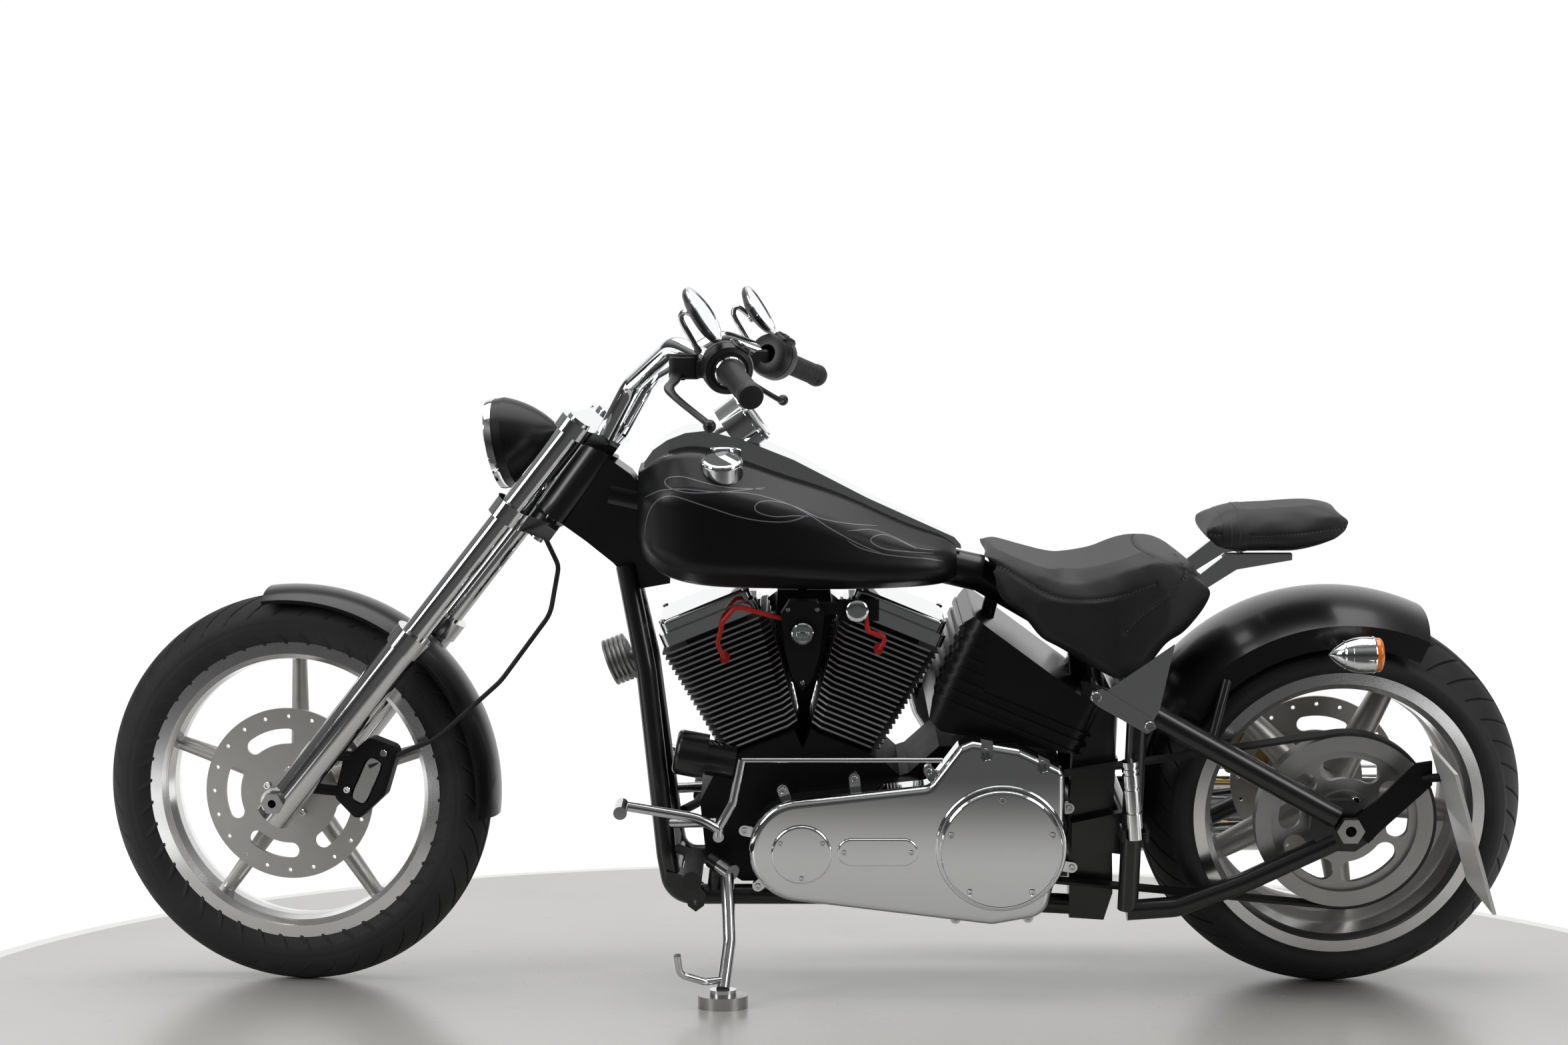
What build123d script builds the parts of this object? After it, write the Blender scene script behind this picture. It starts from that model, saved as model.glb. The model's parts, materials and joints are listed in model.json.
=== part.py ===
from build123d import *
from math import asin, atan2, cos, degrees, pi, radians, sin, sqrt
import os

# Chopper motorcycle, leaning on its side stand. Millimetres.
# Every piece is drawn on the upright, straight-steered motorcycle:
#   X = 0 at the front axle, +X rearward; Y = 0 on the mid-plane, -Y is the rider's left;
#   Z = 0 on the ground. At the end each piece is steered and leaned into its parked place.

# ---------------------------------------------------------------- driving dimensions
WHEELBASE = 1758.0
RAKE = 36.5                 # steering axis, degrees from vertical
TRAIL = 157.0               # ground distance from the steering axis to under the front axle
FORK_ANGLE = 38.0           # fork legs, degrees from vertical
FORK_SPACING = 228.0        # between the two legs' centre lines
FORK_OFFSET = 9.0           # axle in front of the legs' centre line
STEER_REST = -9.37          # parked steering angle, positive to the left
STEER_LOCK = 32.0           # steering stop, each way from straight
LEAN = 11.03                # parked lean, towards the left

# wheels: one row each, with the sizes that front and rear share
FRONT = dict(axle_x=0.0, tyre_r=335.0, tyre_half=50.0, crown_r=52.0, bead_r=241.3, rim_half=39.4,
             spoke_count=5, spoke_start=90.0, spoke_root=17.0, spoke_tip=12.0, hub_r=30.0, hub_half=46.0)
REAR = dict(axle_x=WHEELBASE, tyre_r=324.6, tyre_half=120.0, crown_r=150.0, bead_r=228.6, rim_half=111.2,
            spoke_count=5, spoke_start=64.0, spoke_root=27.0, spoke_tip=19.0, hub_r=48.0, hub_half=84.0)
RIM_FLANGE = 14.0           # flange height over the bead seat
RIM_WALL = 7.0

FRONT_AXLE_R = 12.5
FRONT_AXLE_BORE_R = 7.0
REAR_AXLE_R = 14.0
REAR_AXLE_BORE_R = 9.0
AXLE_CLEARANCE = 0.05       # running fit of a wheel on its axle, radial

DISC_R = 146.0
DISC_THICKNESS = 5.0
FRONT_DISC_Y = -62.0
REAR_DISC_Y = 104.0
CALIPER_GAP = 1.0           # each side of a disc

BELT_WIDTH = 28.0
BELT_THICKNESS = 5.0
PULLEY_R = 147.0
SPROCKET_R = 71.0
SPROCKET_X, SPROCKET_Z = 1148.0, 306.0
SPROCKET_SHAFT_R = 20.0
BELT_Y = -141.0
BELT_GAP = 0.4

FORK_TUBE_R = 20.65
SLIDER_R = 29.0

# frame
DOWNTUBE_R = 17.0
RAIL_R = 16.5
BACKBONE_R = 31.0
RAIL_Y = 104.0
PIVOT_X, PIVOT_Z = 1335.0, 296.0
PIVOT_R = 24.0

# side stand and the round puck under its foot, in the parked motorcycle's place
PUCK_X, PUCK_Y = 732.6, -294.4
PUCK_R = 40.6
PUCK_HEIGHT = 20.0
STAND_PIVOT = (736.0, -146.0, 238.0)
STAND_LEG_R = 11.0
STAND_AXIS = Vector(-0.648, 0.732, 0.211).normalized()     # along the pivot pin, towards the frame
STAND_BOSS_R, STAND_BOSS_HALF = 15.0, 14.0
STAND_PIN_R = 6.0

TUNNEL_HALF = 35.0          # the tank's tunnel over the backbone

LEFT, RIGHT = -1, 1
SIDES = (LEFT, RIGHT)

# ---------------------------------------------------------------- places worked out from them
FRONT_AXLE = Vector(FRONT["axle_x"], 0, FRONT["tyre_r"])
REAR_AXLE = Vector(REAR["axle_x"], 0, REAR["tyre_r"])
STEER_FOOT = Vector(-TRAIL, 0, 0)
STEER_DIR = Vector(sin(radians(RAKE)), 0, cos(radians(RAKE)))
FORK_DIR = Vector(sin(radians(FORK_ANGLE)), 0, cos(radians(FORK_ANGLE)))
FORK_ACROSS = Vector(cos(radians(FORK_ANGLE)), 0, -sin(radians(FORK_ANGLE)))   # rearward, square to a leg
FORK_FOOT = FRONT_AXLE + FORK_ACROSS * FORK_OFFSET


def on_steering(along):
    """Point on the steering axis, a distance up from the ground."""
    return STEER_FOOT + STEER_DIR * along


def on_fork(along, side):
    """Point on a fork leg's centre line, a distance up from the axle."""
    return FORK_FOOT + FORK_DIR * along + Vector(0, side * FORK_SPACING / 2, 0)


def side_plane(y):
    """Plane at a lateral place: its x is the motorcycle's X, its y is Z, its normal points left."""
    return Plane(origin=(0, y, 0), x_dir=(1, 0, 0), z_dir=(0, -1, 0))


def axle_plane(centre):
    """Plane through a wheel's axle: its x is the motorcycle's Y, its y is the radius."""
    return Plane(origin=centre, x_dir=(0, 1, 0), z_dir=(1, 0, 0))


def bar(start, end, radius, mode=Mode.ADD):
    """Round bar between two points, added to the part being built."""
    start, end = Vector(*start), Vector(*end)
    axis = end - start
    with BuildSketch(Plane(origin=start, z_dir=axis.normalized())) as section:
        Circle(radius)
    extrude(section.sketch, amount=axis.length, mode=mode)


def bent_bar(points, bends, radius, mode=Mode.ADD):
    """Round bar along straight runs joined by tangent arcs, added to the part being built."""
    with BuildLine() as route:
        FilletPolyline(*points, radius=bends)
    with BuildSketch(Plane(origin=route.line @ 0, z_dir=route.line % 0)) as section:
        Circle(radius)
    sweep(section.sketch, path=route.line, mode=mode)


def side_plate(outline, y_inner, y_outer, mode=Mode.ADD):
    """Plate cut from a side outline of (x, z) points, between two lateral places."""
    with BuildSketch(side_plane(max(y_inner, y_outer))) as section:
        with BuildLine():
            Polyline(*outline, close=True)
        make_face()
    extrude(section.sketch, amount=abs(y_outer - y_inner), mode=mode)


def across(x, z, radius, y_from, y_to, mode=Mode.ADD):
    """Round bar across the motorcycle."""
    bar((x, min(y_from, y_to), z), (x, max(y_from, y_to), z), radius, mode)


def left_boss(x, z, radius, y_from, y_to, edge):
    """Round boss towards the left, its outer rim rounded."""
    with BuildPart() as boss:
        across(x, z, radius, y_from, y_to)
        fillet(boss.edges().filter_by(GeomType.CIRCLE).sort_by(Axis.Y)[0], edge)
    add(boss.part)


def rounded_plate(outline, corners, y_inner, y_outer, edge):
    """Casting with a smooth side outline and a rounded outer rim; y_outer is further from the middle."""
    with BuildPart() as casting:
        with BuildSketch(side_plane(max(y_inner, y_outer))):
            with BuildLine():
                FilletPolyline(*outline, radius=corners, close=True)
            make_face()
        extrude(amount=abs(y_outer - y_inner))
        outer = casting.edges().group_by(Axis.Y)[0 if y_outer < y_inner else -1]
        fillet(outer, edge)
    add(casting.part)


# ---------------------------------------------------------------- wheels
FLANGE_THICKNESS = 6.0
TYRE_SHOULDER = {"front": 47.0, "rear": 106.0}
FRONT["shoulder"] = TYRE_SHOULDER["front"]
REAR["shoulder"] = TYRE_SHOULDER["rear"]
FRONT["axle_r"] = FRONT_AXLE_R
REAR["axle_r"] = REAR_AXLE_R
FRONT["lip_steps"] = [(0.0, 6.0), (9.0, 15.0), (30.0, 19.0)]      # (in from the lip, below the bead seat)
REAR["lip_steps"] = [(0.0, 5.0), (9.0, 15.0), (40.0, 21.0), (84.0, 27.0)]


def wheel_centre(size):
    return Vector(size["axle_x"], 0, size["tyre_r"])


def make_tyre(size):
    """Tyre with a round crown, its bead seated on the rim."""
    seat = size["rim_half"] - FLANGE_THICKNESS
    bead = size["bead_r"]
    flange_top = bead + RIM_FLANGE
    crown_centre = size["tyre_r"] - size["crown_r"]
    shoulder = size["shoulder"]
    shoulder_r = crown_centre + sqrt(size["crown_r"] ** 2 - shoulder ** 2)
    wide_r = (shoulder_r + flange_top) / 2 + 3
    edge = size["rim_half"] - 1
    with BuildPart() as tyre:
        with BuildSketch(axle_plane(wheel_centre(size))) as section:
            with BuildLine():
                Line((-seat, bead), (seat, bead))
                Line((seat, bead), (seat, flange_top))
                Line((seat, flange_top), (edge, flange_top))
                ThreePointArc((edge, flange_top), (size["tyre_half"], wide_r), (shoulder, shoulder_r))
                ThreePointArc((shoulder, shoulder_r), (0, size["tyre_r"]), (-shoulder, shoulder_r))
                ThreePointArc((-shoulder, shoulder_r), (-size["tyre_half"], wide_r), (-edge, flange_top))
                Line((-edge, flange_top), (-seat, flange_top))
                Line((-seat, flange_top), (-seat, bead))
            make_face()
        revolve(axis=Axis(tuple(wheel_centre(size)), (0, 1, 0)))
    return tyre


def make_wheel(size):
    """Cast wheel: stepped rim, hub bored for its axle, tapered round spokes."""
    centre = wheel_centre(size)
    half = size["rim_half"]
    bead = size["bead_r"]
    seat = half - FLANGE_THICKNESS
    flange_top = bead + RIM_FLANGE
    inner = [(half - inward, bead - drop) for inward, drop in size["lip_steps"]]
    rim_inner_r = inner[-1][1]
    outline = [(-half, flange_top), (-seat, flange_top), (-seat, bead), (seat, bead)]
    outline += [(seat, flange_top), (half, flange_top)]
    outline += inner + [(-y, r) for y, r in reversed(inner)]
    bore = size["axle_r"] + AXLE_CLEARANCE
    with BuildPart() as wheel:
        with BuildSketch(axle_plane(centre)):
            with BuildLine():
                Polyline(*outline, close=True)
            make_face()
            with Locations((0, (bore + size["hub_r"]) / 2)):
                Rectangle(2 * size["hub_half"], size["hub_r"] - bore)
        revolve(axis=Axis(tuple(centre), (0, 1, 0)))
        for index in range(size["spoke_count"]):
            angle = radians(size["spoke_start"] + index * 360 / size["spoke_count"])
            outward = Vector(cos(angle), 0, sin(angle))
            root = Plane(origin=centre + outward * (size["hub_r"] - 4), x_dir=(0, 1, 0), z_dir=outward)
            tip = Plane(origin=centre + outward * (rim_inner_r + 3), x_dir=(0, 1, 0), z_dir=outward)
            with BuildSketch(root) as root_section:
                Ellipse(size["spoke_root"] * 1.15, size["spoke_root"])
            with BuildSketch(tip) as tip_section:
                Ellipse(size["spoke_tip"] * 1.2, size["spoke_tip"])
            loft([root_section.sketch, tip_section.sketch])
    return wheel


front_tyre = make_tyre(FRONT)
rear_tyre = make_tyre(REAR)
front_wheel = make_wheel(FRONT)
rear_wheel = make_wheel(REAR)

DISC_HUB_R = 34.0           # the disc's own seat on the hub
KIDNEY_R, KIDNEY_WIDTH, KIDNEY_SWEEP = 98.0, 26.0, 38.0
KIDNEY_COUNT = 5
VENT_COUNT, VENT_R = 20, 3.4


def make_disc(size, y_middle):
    """Brake disc with kidney windows, with a round seat that carries it on the hub."""
    centre = wheel_centre(size)
    side = LEFT if y_middle < 0 else RIGHT
    kidney_middle = CenterArc((0, 0), KIDNEY_R, 0, KIDNEY_SWEEP)
    with BuildPart() as disc:
        across(centre.X, centre.Z, DISC_R, y_middle - DISC_THICKNESS / 2, y_middle + DISC_THICKNESS / 2)
        across(centre.X, centre.Z, DISC_HUB_R + 14, side * size["hub_half"], y_middle)
        with BuildSketch(Plane(origin=(centre.X, y_middle + 30, centre.Z), x_dir=(1, 0, 0), z_dir=(0, -1, 0))):
            with PolarLocations(0, KIDNEY_COUNT, start_angle=size["spoke_start"]):
                SlotArc(kidney_middle, KIDNEY_WIDTH)
            with PolarLocations(DISC_R - 14, VENT_COUNT):
                Circle(VENT_R)
        extrude(amount=60, mode=Mode.SUBTRACT)
        across(centre.X, centre.Z, size["axle_r"] + AXLE_CLEARANCE, -300, 300, Mode.SUBTRACT)
    return disc


front_disc = make_disc(FRONT, FRONT_DISC_Y)
rear_disc = make_disc(REAR, REAR_DISC_Y)

PULLEY_RIM = 26.0
PULLEY_SPOKE_COUNT = 5
window_middle = CenterArc((0, 0), 90, 0, 42)
with BuildPart() as rear_pulley:
    belt_left = BELT_Y - BELT_WIDTH / 2
    belt_right = BELT_Y + BELT_WIDTH / 2
    across(REAR_AXLE.X, REAR_AXLE.Z, PULLEY_R, belt_left, belt_right)
    across(REAR_AXLE.X, REAR_AXLE.Z, PULLEY_R - PULLEY_RIM, belt_left - 1, belt_left + 8, Mode.SUBTRACT)
    across(REAR_AXLE.X, REAR_AXLE.Z, PULLEY_R - PULLEY_RIM, belt_left + 18, belt_right + 1, Mode.SUBTRACT)
    across(REAR_AXLE.X, REAR_AXLE.Z, REAR["hub_r"] + 4, belt_left + 4, -REAR["hub_half"])
    with BuildSketch(Plane(origin=(REAR_AXLE.X, belt_right + 20, REAR_AXLE.Z), x_dir=(1, 0, 0), z_dir=(0, -1, 0))):
        with PolarLocations(0, PULLEY_SPOKE_COUNT, start_angle=REAR["spoke_start"]):
            SlotArc(window_middle, 36)
    extrude(amount=60, mode=Mode.SUBTRACT)
    across(REAR_AXLE.X, REAR_AXLE.Z, REAR["axle_r"] + AXLE_CLEARANCE, -300, 300, Mode.SUBTRACT)

with BuildPart() as drive_belt:
    inner_r = PULLEY_R + BELT_GAP
    inner_small = SPROCKET_R + BELT_GAP
    span = Vector(REAR_AXLE.X - SPROCKET_X, 0, REAR_AXLE.Z - SPROCKET_Z)
    lead = degrees(atan2(span.Z, span.X))
    splay = degrees(asin((inner_r - inner_small) / span.length))
    with BuildSketch(side_plane(BELT_Y + BELT_WIDTH / 2)) as loop:
        for grow, mode in ((BELT_THICKNESS, Mode.ADD), (0, Mode.SUBTRACT)):
            for x, z, r in ((REAR_AXLE.X, REAR_AXLE.Z, inner_r + grow), (SPROCKET_X, SPROCKET_Z, inner_small + grow)):
                with Locations((x, z)):
                    Circle(r, mode=mode)
            corners = []
            for turn in (1, -1):
                normal = radians(lead + turn * (90 + splay))
                away = (cos(normal), sin(normal))
                corners.append(((SPROCKET_X + away[0] * (inner_small + grow), SPROCKET_Z + away[1] * (inner_small + grow)),
                                (REAR_AXLE.X + away[0] * (inner_r + grow), REAR_AXLE.Z + away[1] * (inner_r + grow))))
            (a, b), (d, c) = corners[0], corners[1]
            with BuildLine():
                Polyline(a, b, c, d, close=True)
            make_face(mode=mode)
    extrude(amount=BELT_WIDTH)

# ---------------------------------------------------------------- axles
FRONT_AXLE_HALF = 154.0
REAR_AXLE_LEFT, REAR_AXLE_RIGHT = 208.0, 202.0
AXLE_NUT_R = 19.0
with BuildPart() as front_axle:
    across(FRONT_AXLE.X, FRONT_AXLE.Z, FRONT_AXLE_R, -FRONT_AXLE_HALF, FRONT_AXLE_HALF)
    with BuildSketch(Plane(origin=(FRONT_AXLE.X, -FRONT_AXLE_HALF, FRONT_AXLE.Z), x_dir=(1, 0, 0), z_dir=(0, -1, 0))):
        RegularPolygon(AXLE_NUT_R, 6)
    extrude(amount=-10)
    across(FRONT_AXLE.X, FRONT_AXLE.Z, FRONT_AXLE_BORE_R, -300, 300, Mode.SUBTRACT)

with BuildPart() as rear_axle:
    across(REAR_AXLE.X, REAR_AXLE.Z, REAR_AXLE_R, -REAR_AXLE_LEFT, REAR_AXLE_RIGHT)
    for y_face in (-REAR_AXLE_LEFT, REAR_AXLE_RIGHT - 14):
        with BuildSketch(Plane(origin=(REAR_AXLE.X, y_face, REAR_AXLE.Z), x_dir=(1, 0, 0), z_dir=(0, 1, 0))):
            RegularPolygon(AXLE_NUT_R + 4, 6)
        extrude(amount=14)
    across(REAR_AXLE.X, REAR_AXLE.Z, REAR_AXLE_BORE_R, -300, 300, Mode.SUBTRACT)

# ---------------------------------------------------------------- frame
NECK_R = 32.0
NECK_LOW, NECK_HIGH = 1011.0, 1155.0          # along the steering axis
STEM_R = 13.0
BACKBONE_REAR = (1162.0, 0, 712.0)
SEAT_POST_TOP = (1335.0, 0, 606.0)
DOWNTUBE_TOP = (566.0, 730.0)
CASTING_OUTER, CASTING_INNER = 122.0, 92.0
BRACKET_OUT, BRACKET_IN = 126.0, 86.0
BRACKET_HOLE = (682.0, 173.0)
BRACKET_HOLE_R = 4.5
with BuildPart() as frame:
    bar(on_steering(NECK_LOW), on_steering(NECK_HIGH), NECK_R)
    side_plate([(462, 800), (500, 772), (545, 735), (585, 690), (640, 700), (640, 800), (576, 886), (540, 912)], -27, 27)
    bar((540, 0, 852), BACKBONE_REAR, BACKBONE_R)
    bent_bar([(1150, 0, 715), SEAT_POST_TOP, (1352, 0, 470), (1352, 0, 330)], 60, BACKBONE_R - 4)
    for side in SIDES:
        bent_bar([(DOWNTUBE_TOP[0], side * 24, DOWNTUBE_TOP[1]), (600, side * 60, 560), (634, side * RAIL_Y, 250),
                  (646, side * RAIL_Y, 181), (1000, side * RAIL_Y, 181), (1345, side * RAIL_Y, 162)],
                 [150, 60, 38, 400], DOWNTUBE_R)
        side_plate([(1310, 146), (1368, 142), (1382, 190), (1378, 300), (1382, 420), (1370, 536), (1325, 550), (1312, 470),
                    (1306, 330)], side * CASTING_INNER, side * CASTING_OUTER)
        bar((1330, side * 20, 606), (1392, side * 44, 600), 14)
    across(PIVOT_X, PIVOT_Z, PIVOT_R + 8, -CASTING_INNER, CASTING_INNER)
    across(1345, 522, 16, -CASTING_INNER, CASTING_INNER)
    across(1345, 165, 14, -CASTING_INNER, CASTING_INNER)
    across(644, 200, 14, -RAIL_Y, RAIL_Y)
    side_plate([(634, 228), (634, 205), (650, 189), (665, 187), (670, 167), (683, 157), (697, 168), (700, 190), (668, 220)],
               -BRACKET_OUT, -BRACKET_IN)
    across(BRACKET_HOLE[0], BRACKET_HOLE[1], BRACKET_HOLE_R, -200, 0, Mode.SUBTRACT)
    for x in (700, 1050):
        across(x, 852 - (x - 540) * 140 / 622, 12, -TUNNEL_HALF, TUNNEL_HALF)
    stand_at = Vector(*STAND_PIVOT)
    bar((712, -RAIL_Y, 186), stand_at + STAND_AXIS * 27, 11)
    bar(stand_at + STAND_AXIS * (STAND_BOSS_HALF + 0.3), stand_at + STAND_AXIS * 38, STAND_BOSS_R)
    bar(stand_at - STAND_AXIS * (STAND_BOSS_HALF - 2), stand_at + STAND_AXIS * 38, STAND_PIN_R)
    bar(on_steering(NECK_LOW - 60), on_steering(NECK_HIGH + 60), STEM_R + AXLE_CLEARANCE, Mode.SUBTRACT)
    across(PIVOT_X, PIVOT_Z, PIVOT_R / 2 + AXLE_CLEARANCE, -200, 200, Mode.SUBTRACT)


# ---------------------------------------------------------------- swingarm
PEG_PIVOT = (1404.0, 216.0, 322.0)
PEG_LENGTH, PEG_R = 125.0, 14.0
PEG_PIN_R = 4.0
PEG_GROOVES = (0.30, 0.62, 0.82, 0.9)     # shares of the peg's length
ARM_Y = 180.0
ARM_UPPER_R, ARM_LOWER_R = 20.0, 17.0
ARM_FRONT_X = 1408.0
ARM_PLATE_IN, ARM_PLATE_OUT = 172.0, 188.0
with BuildPart() as swingarm:
    for side in SIDES:
        bar((ARM_FRONT_X - 20, side * ARM_Y, 540), (1738, side * ARM_Y, 342), ARM_UPPER_R)
        bent_bar([(ARM_FRONT_X - 10, side * ARM_Y, 180), (1480, side * ARM_Y, 186), (1590, side * ARM_Y, 228), (1738, side * ARM_Y, 300)],
                 [60, 200], ARM_LOWER_R)
        bar((ARM_FRONT_X, side * ARM_Y, 530), (ARM_FRONT_X - 8, side * ARM_Y, 182), ARM_LOWER_R)
        side_plate([(PIVOT_X - 26, PIVOT_Z + 22), (PIVOT_X - 26, PIVOT_Z - 22), (ARM_FRONT_X, 262), (ARM_FRONT_X, 340)],
                   side * (CASTING_OUTER + 2), side * (CASTING_OUTER + 20))
        side_plate([(1700, 372), (1694, 320), (1712, 286), (1770, 284), (1800, 306), (1800, 340), (1764, 372)],
                   side * ARM_PLATE_IN, side * ARM_PLATE_OUT)
    across(ARM_FRONT_X, 505, 18, -ARM_Y, ARM_Y)
    across(ARM_FRONT_X - 4, 300, 18, -ARM_Y, ARM_Y)
    across(PIVOT_X, PIVOT_Z, PIVOT_R / 2, -(CASTING_OUTER + 20), CASTING_OUTER + 20)
    for side in SIDES:
        for fore in (-1, 1):
            bar((PEG_PIVOT[0] + fore * (PEG_R + 2), side * (ARM_Y + 10), PEG_PIVOT[2]),
                (PEG_PIVOT[0] + fore * (PEG_R + 2), side * PEG_PIVOT[1], PEG_PIVOT[2]), 2)
        side_plate([(PEG_PIVOT[0] - PEG_R - 8, PEG_PIVOT[2] + 10), (PEG_PIVOT[0] + PEG_R + 8, PEG_PIVOT[2] + 10),
                    (PEG_PIVOT[0] + PEG_R + 8, PEG_PIVOT[2] - 10), (PEG_PIVOT[0] - PEG_R - 8, PEG_PIVOT[2] - 10)],
                   side * (ARM_Y + 8), side * (PEG_PIVOT[1] + 10))
        side_plate([(PEG_PIVOT[0] - PEG_R - 2, PEG_PIVOT[2] + 30), (PEG_PIVOT[0] + PEG_R + 2, PEG_PIVOT[2] + 30),
                    (PEG_PIVOT[0] + PEG_R + 2, PEG_PIVOT[2] - 30), (PEG_PIVOT[0] - PEG_R - 2, PEG_PIVOT[2] - 30)],
                   side * (PEG_PIVOT[1] - PEG_R - 2), side * (PEG_PIVOT[1] + 60), Mode.SUBTRACT)
        bar((PEG_PIVOT[0] - PEG_R - 8, side * PEG_PIVOT[1], PEG_PIVOT[2]), (PEG_PIVOT[0] + PEG_R + 8, side * PEG_PIVOT[1], PEG_PIVOT[2]), PEG_PIN_R)
    across(REAR_AXLE.X, REAR_AXLE.Z, REAR_AXLE_R, -300, 300, Mode.SUBTRACT)

# ---------------------------------------------------------------- engine
CRANK_X, CRANK_Z = 862.0, 270.0
CYLINDER_TILT = 22.5
FIN_PITCH, FIN_THICKNESS, FIN_COUNT = 10.0, 3.2, 20
FIN_FIRST = 190.0
FIN_HALF_Y = 78.0
FIN_HALF_LOW, FIN_HALF_HIGH = 62.0, 88.0
CORE_HALF = 50.0
HEAD_TOP = 392.0
ROCKER_HALF, ROCKER_TOP = 88.0, 434.0


def cylinder_plane(side, along):
    """Plane square to a cylinder's axis; side -1 is the front cylinder, +1 the rear one."""
    tilt = radians(CYLINDER_TILT) * side
    axis = Vector(sin(tilt), 0, cos(tilt))
    return Plane(origin=Vector(CRANK_X, 0, CRANK_Z) + axis * along, x_dir=(cos(tilt), 0, -sin(tilt)), z_dir=axis)


def make_cylinder(side, spread):
    """Air-cooled cylinder and head: a core with a stack of fins that widen upwards."""
    with BuildPart() as cylinder:
        with BuildSketch(cylinder_plane(side, FIN_FIRST - 8)):
            Rectangle(2 * CORE_HALF, 2 * CORE_HALF + 20)
        extrude(amount=HEAD_TOP - FIN_FIRST + 8)
        for index in range(FIN_COUNT):
            share = index / (FIN_COUNT - 1)
            half = FIN_HALF_LOW + spread + (FIN_HALF_HIGH - FIN_HALF_LOW) * share
            with BuildSketch(cylinder_plane(side, FIN_FIRST + index * FIN_PITCH)) as fin:
                Rectangle(2 * half, 2 * FIN_HALF_Y)
                chamfer(fin.vertices(), 16)
            extrude(amount=FIN_THICKNESS)
    return cylinder


front_cylinder = make_cylinder(LEFT, 7)
rear_cylinder = make_cylinder(RIGHT, 0)

with BuildPart() as rocker_covers:
    for side in SIDES:
        with BuildSketch(cylinder_plane(side, HEAD_TOP)):
            RectangleRounded(2 * ROCKER_HALF, 2 * FIN_HALF_Y - 8, 14)
        extrude(amount=22)
        with BuildSketch(cylinder_plane(side, HEAD_TOP + 22)):
            RectangleRounded(2 * ROCKER_HALF - 14, 2 * FIN_HALF_Y - 26, 14)
        extrude(amount=ROCKER_TOP - HEAD_TOP - 22)
        upward = cylinder_plane(side, 0).z_dir
        fillet(rocker_covers.edges().group_by(Axis((0, 0, 0), tuple(upward)))[-1], 7)

PRIMARY_IN, PRIMARY_OUT = 160.0, 204.0
CASE_HALF = 92.0
with BuildPart() as engine_case:
    side_plate([(724, 405), (786, 442), (846, 466), (862, 432), (878, 466), (938, 442), (1000, 408), (1030, 380), (1040, 200), (1000, 172 + 28),
                (760, 172 + 28), (700, 240), (690, 340)], -92, 96)
    side_plate([(1010, 380), (1040, 390), (1090, 436), (1240, 436), (1296, 400), (1296, 204), (1010, 204)], -92, 96)
    side_plate([(800, 310), (860, 362), (1055, 388), (1070, 330), (1060, 205), (830, 212), (800, 250)], -PRIMARY_IN, -CASE_HALF)
    side_plate([(1110, 452), (1136, 462), (1225, 448), (1280, 426), (1282, 416), (1130, 412)], -PRIMARY_IN, -CASE_HALF)
    across(SPROCKET_X, SPROCKET_Z, SPROCKET_SHAFT_R, -PRIMARY_IN, -CASE_HALF)
    across(SPROCKET_X, SPROCKET_Z, SPROCKET_R, BELT_Y - BELT_WIDTH / 2, BELT_Y + BELT_WIDTH / 2)
    with BuildSketch(cylinder_plane(LEFT, FIN_FIRST - 8)) as front_cut:
        Rectangle(236, 210)
    extrude(amount=150, mode=Mode.SUBTRACT)
    with BuildSketch(cylinder_plane(RIGHT, FIN_FIRST - 8)) as rear_cut:
        Rectangle(236, 210)
    extrude(amount=150, mode=Mode.SUBTRACT)
    side_plate([(852, 440), (872, 440), (872, 470), (881, 505), (914, 640), (908, 684), (820, 684), (818, 640), (850, 505), (857, 470)],
               -5, FIN_HALF_Y)

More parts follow.
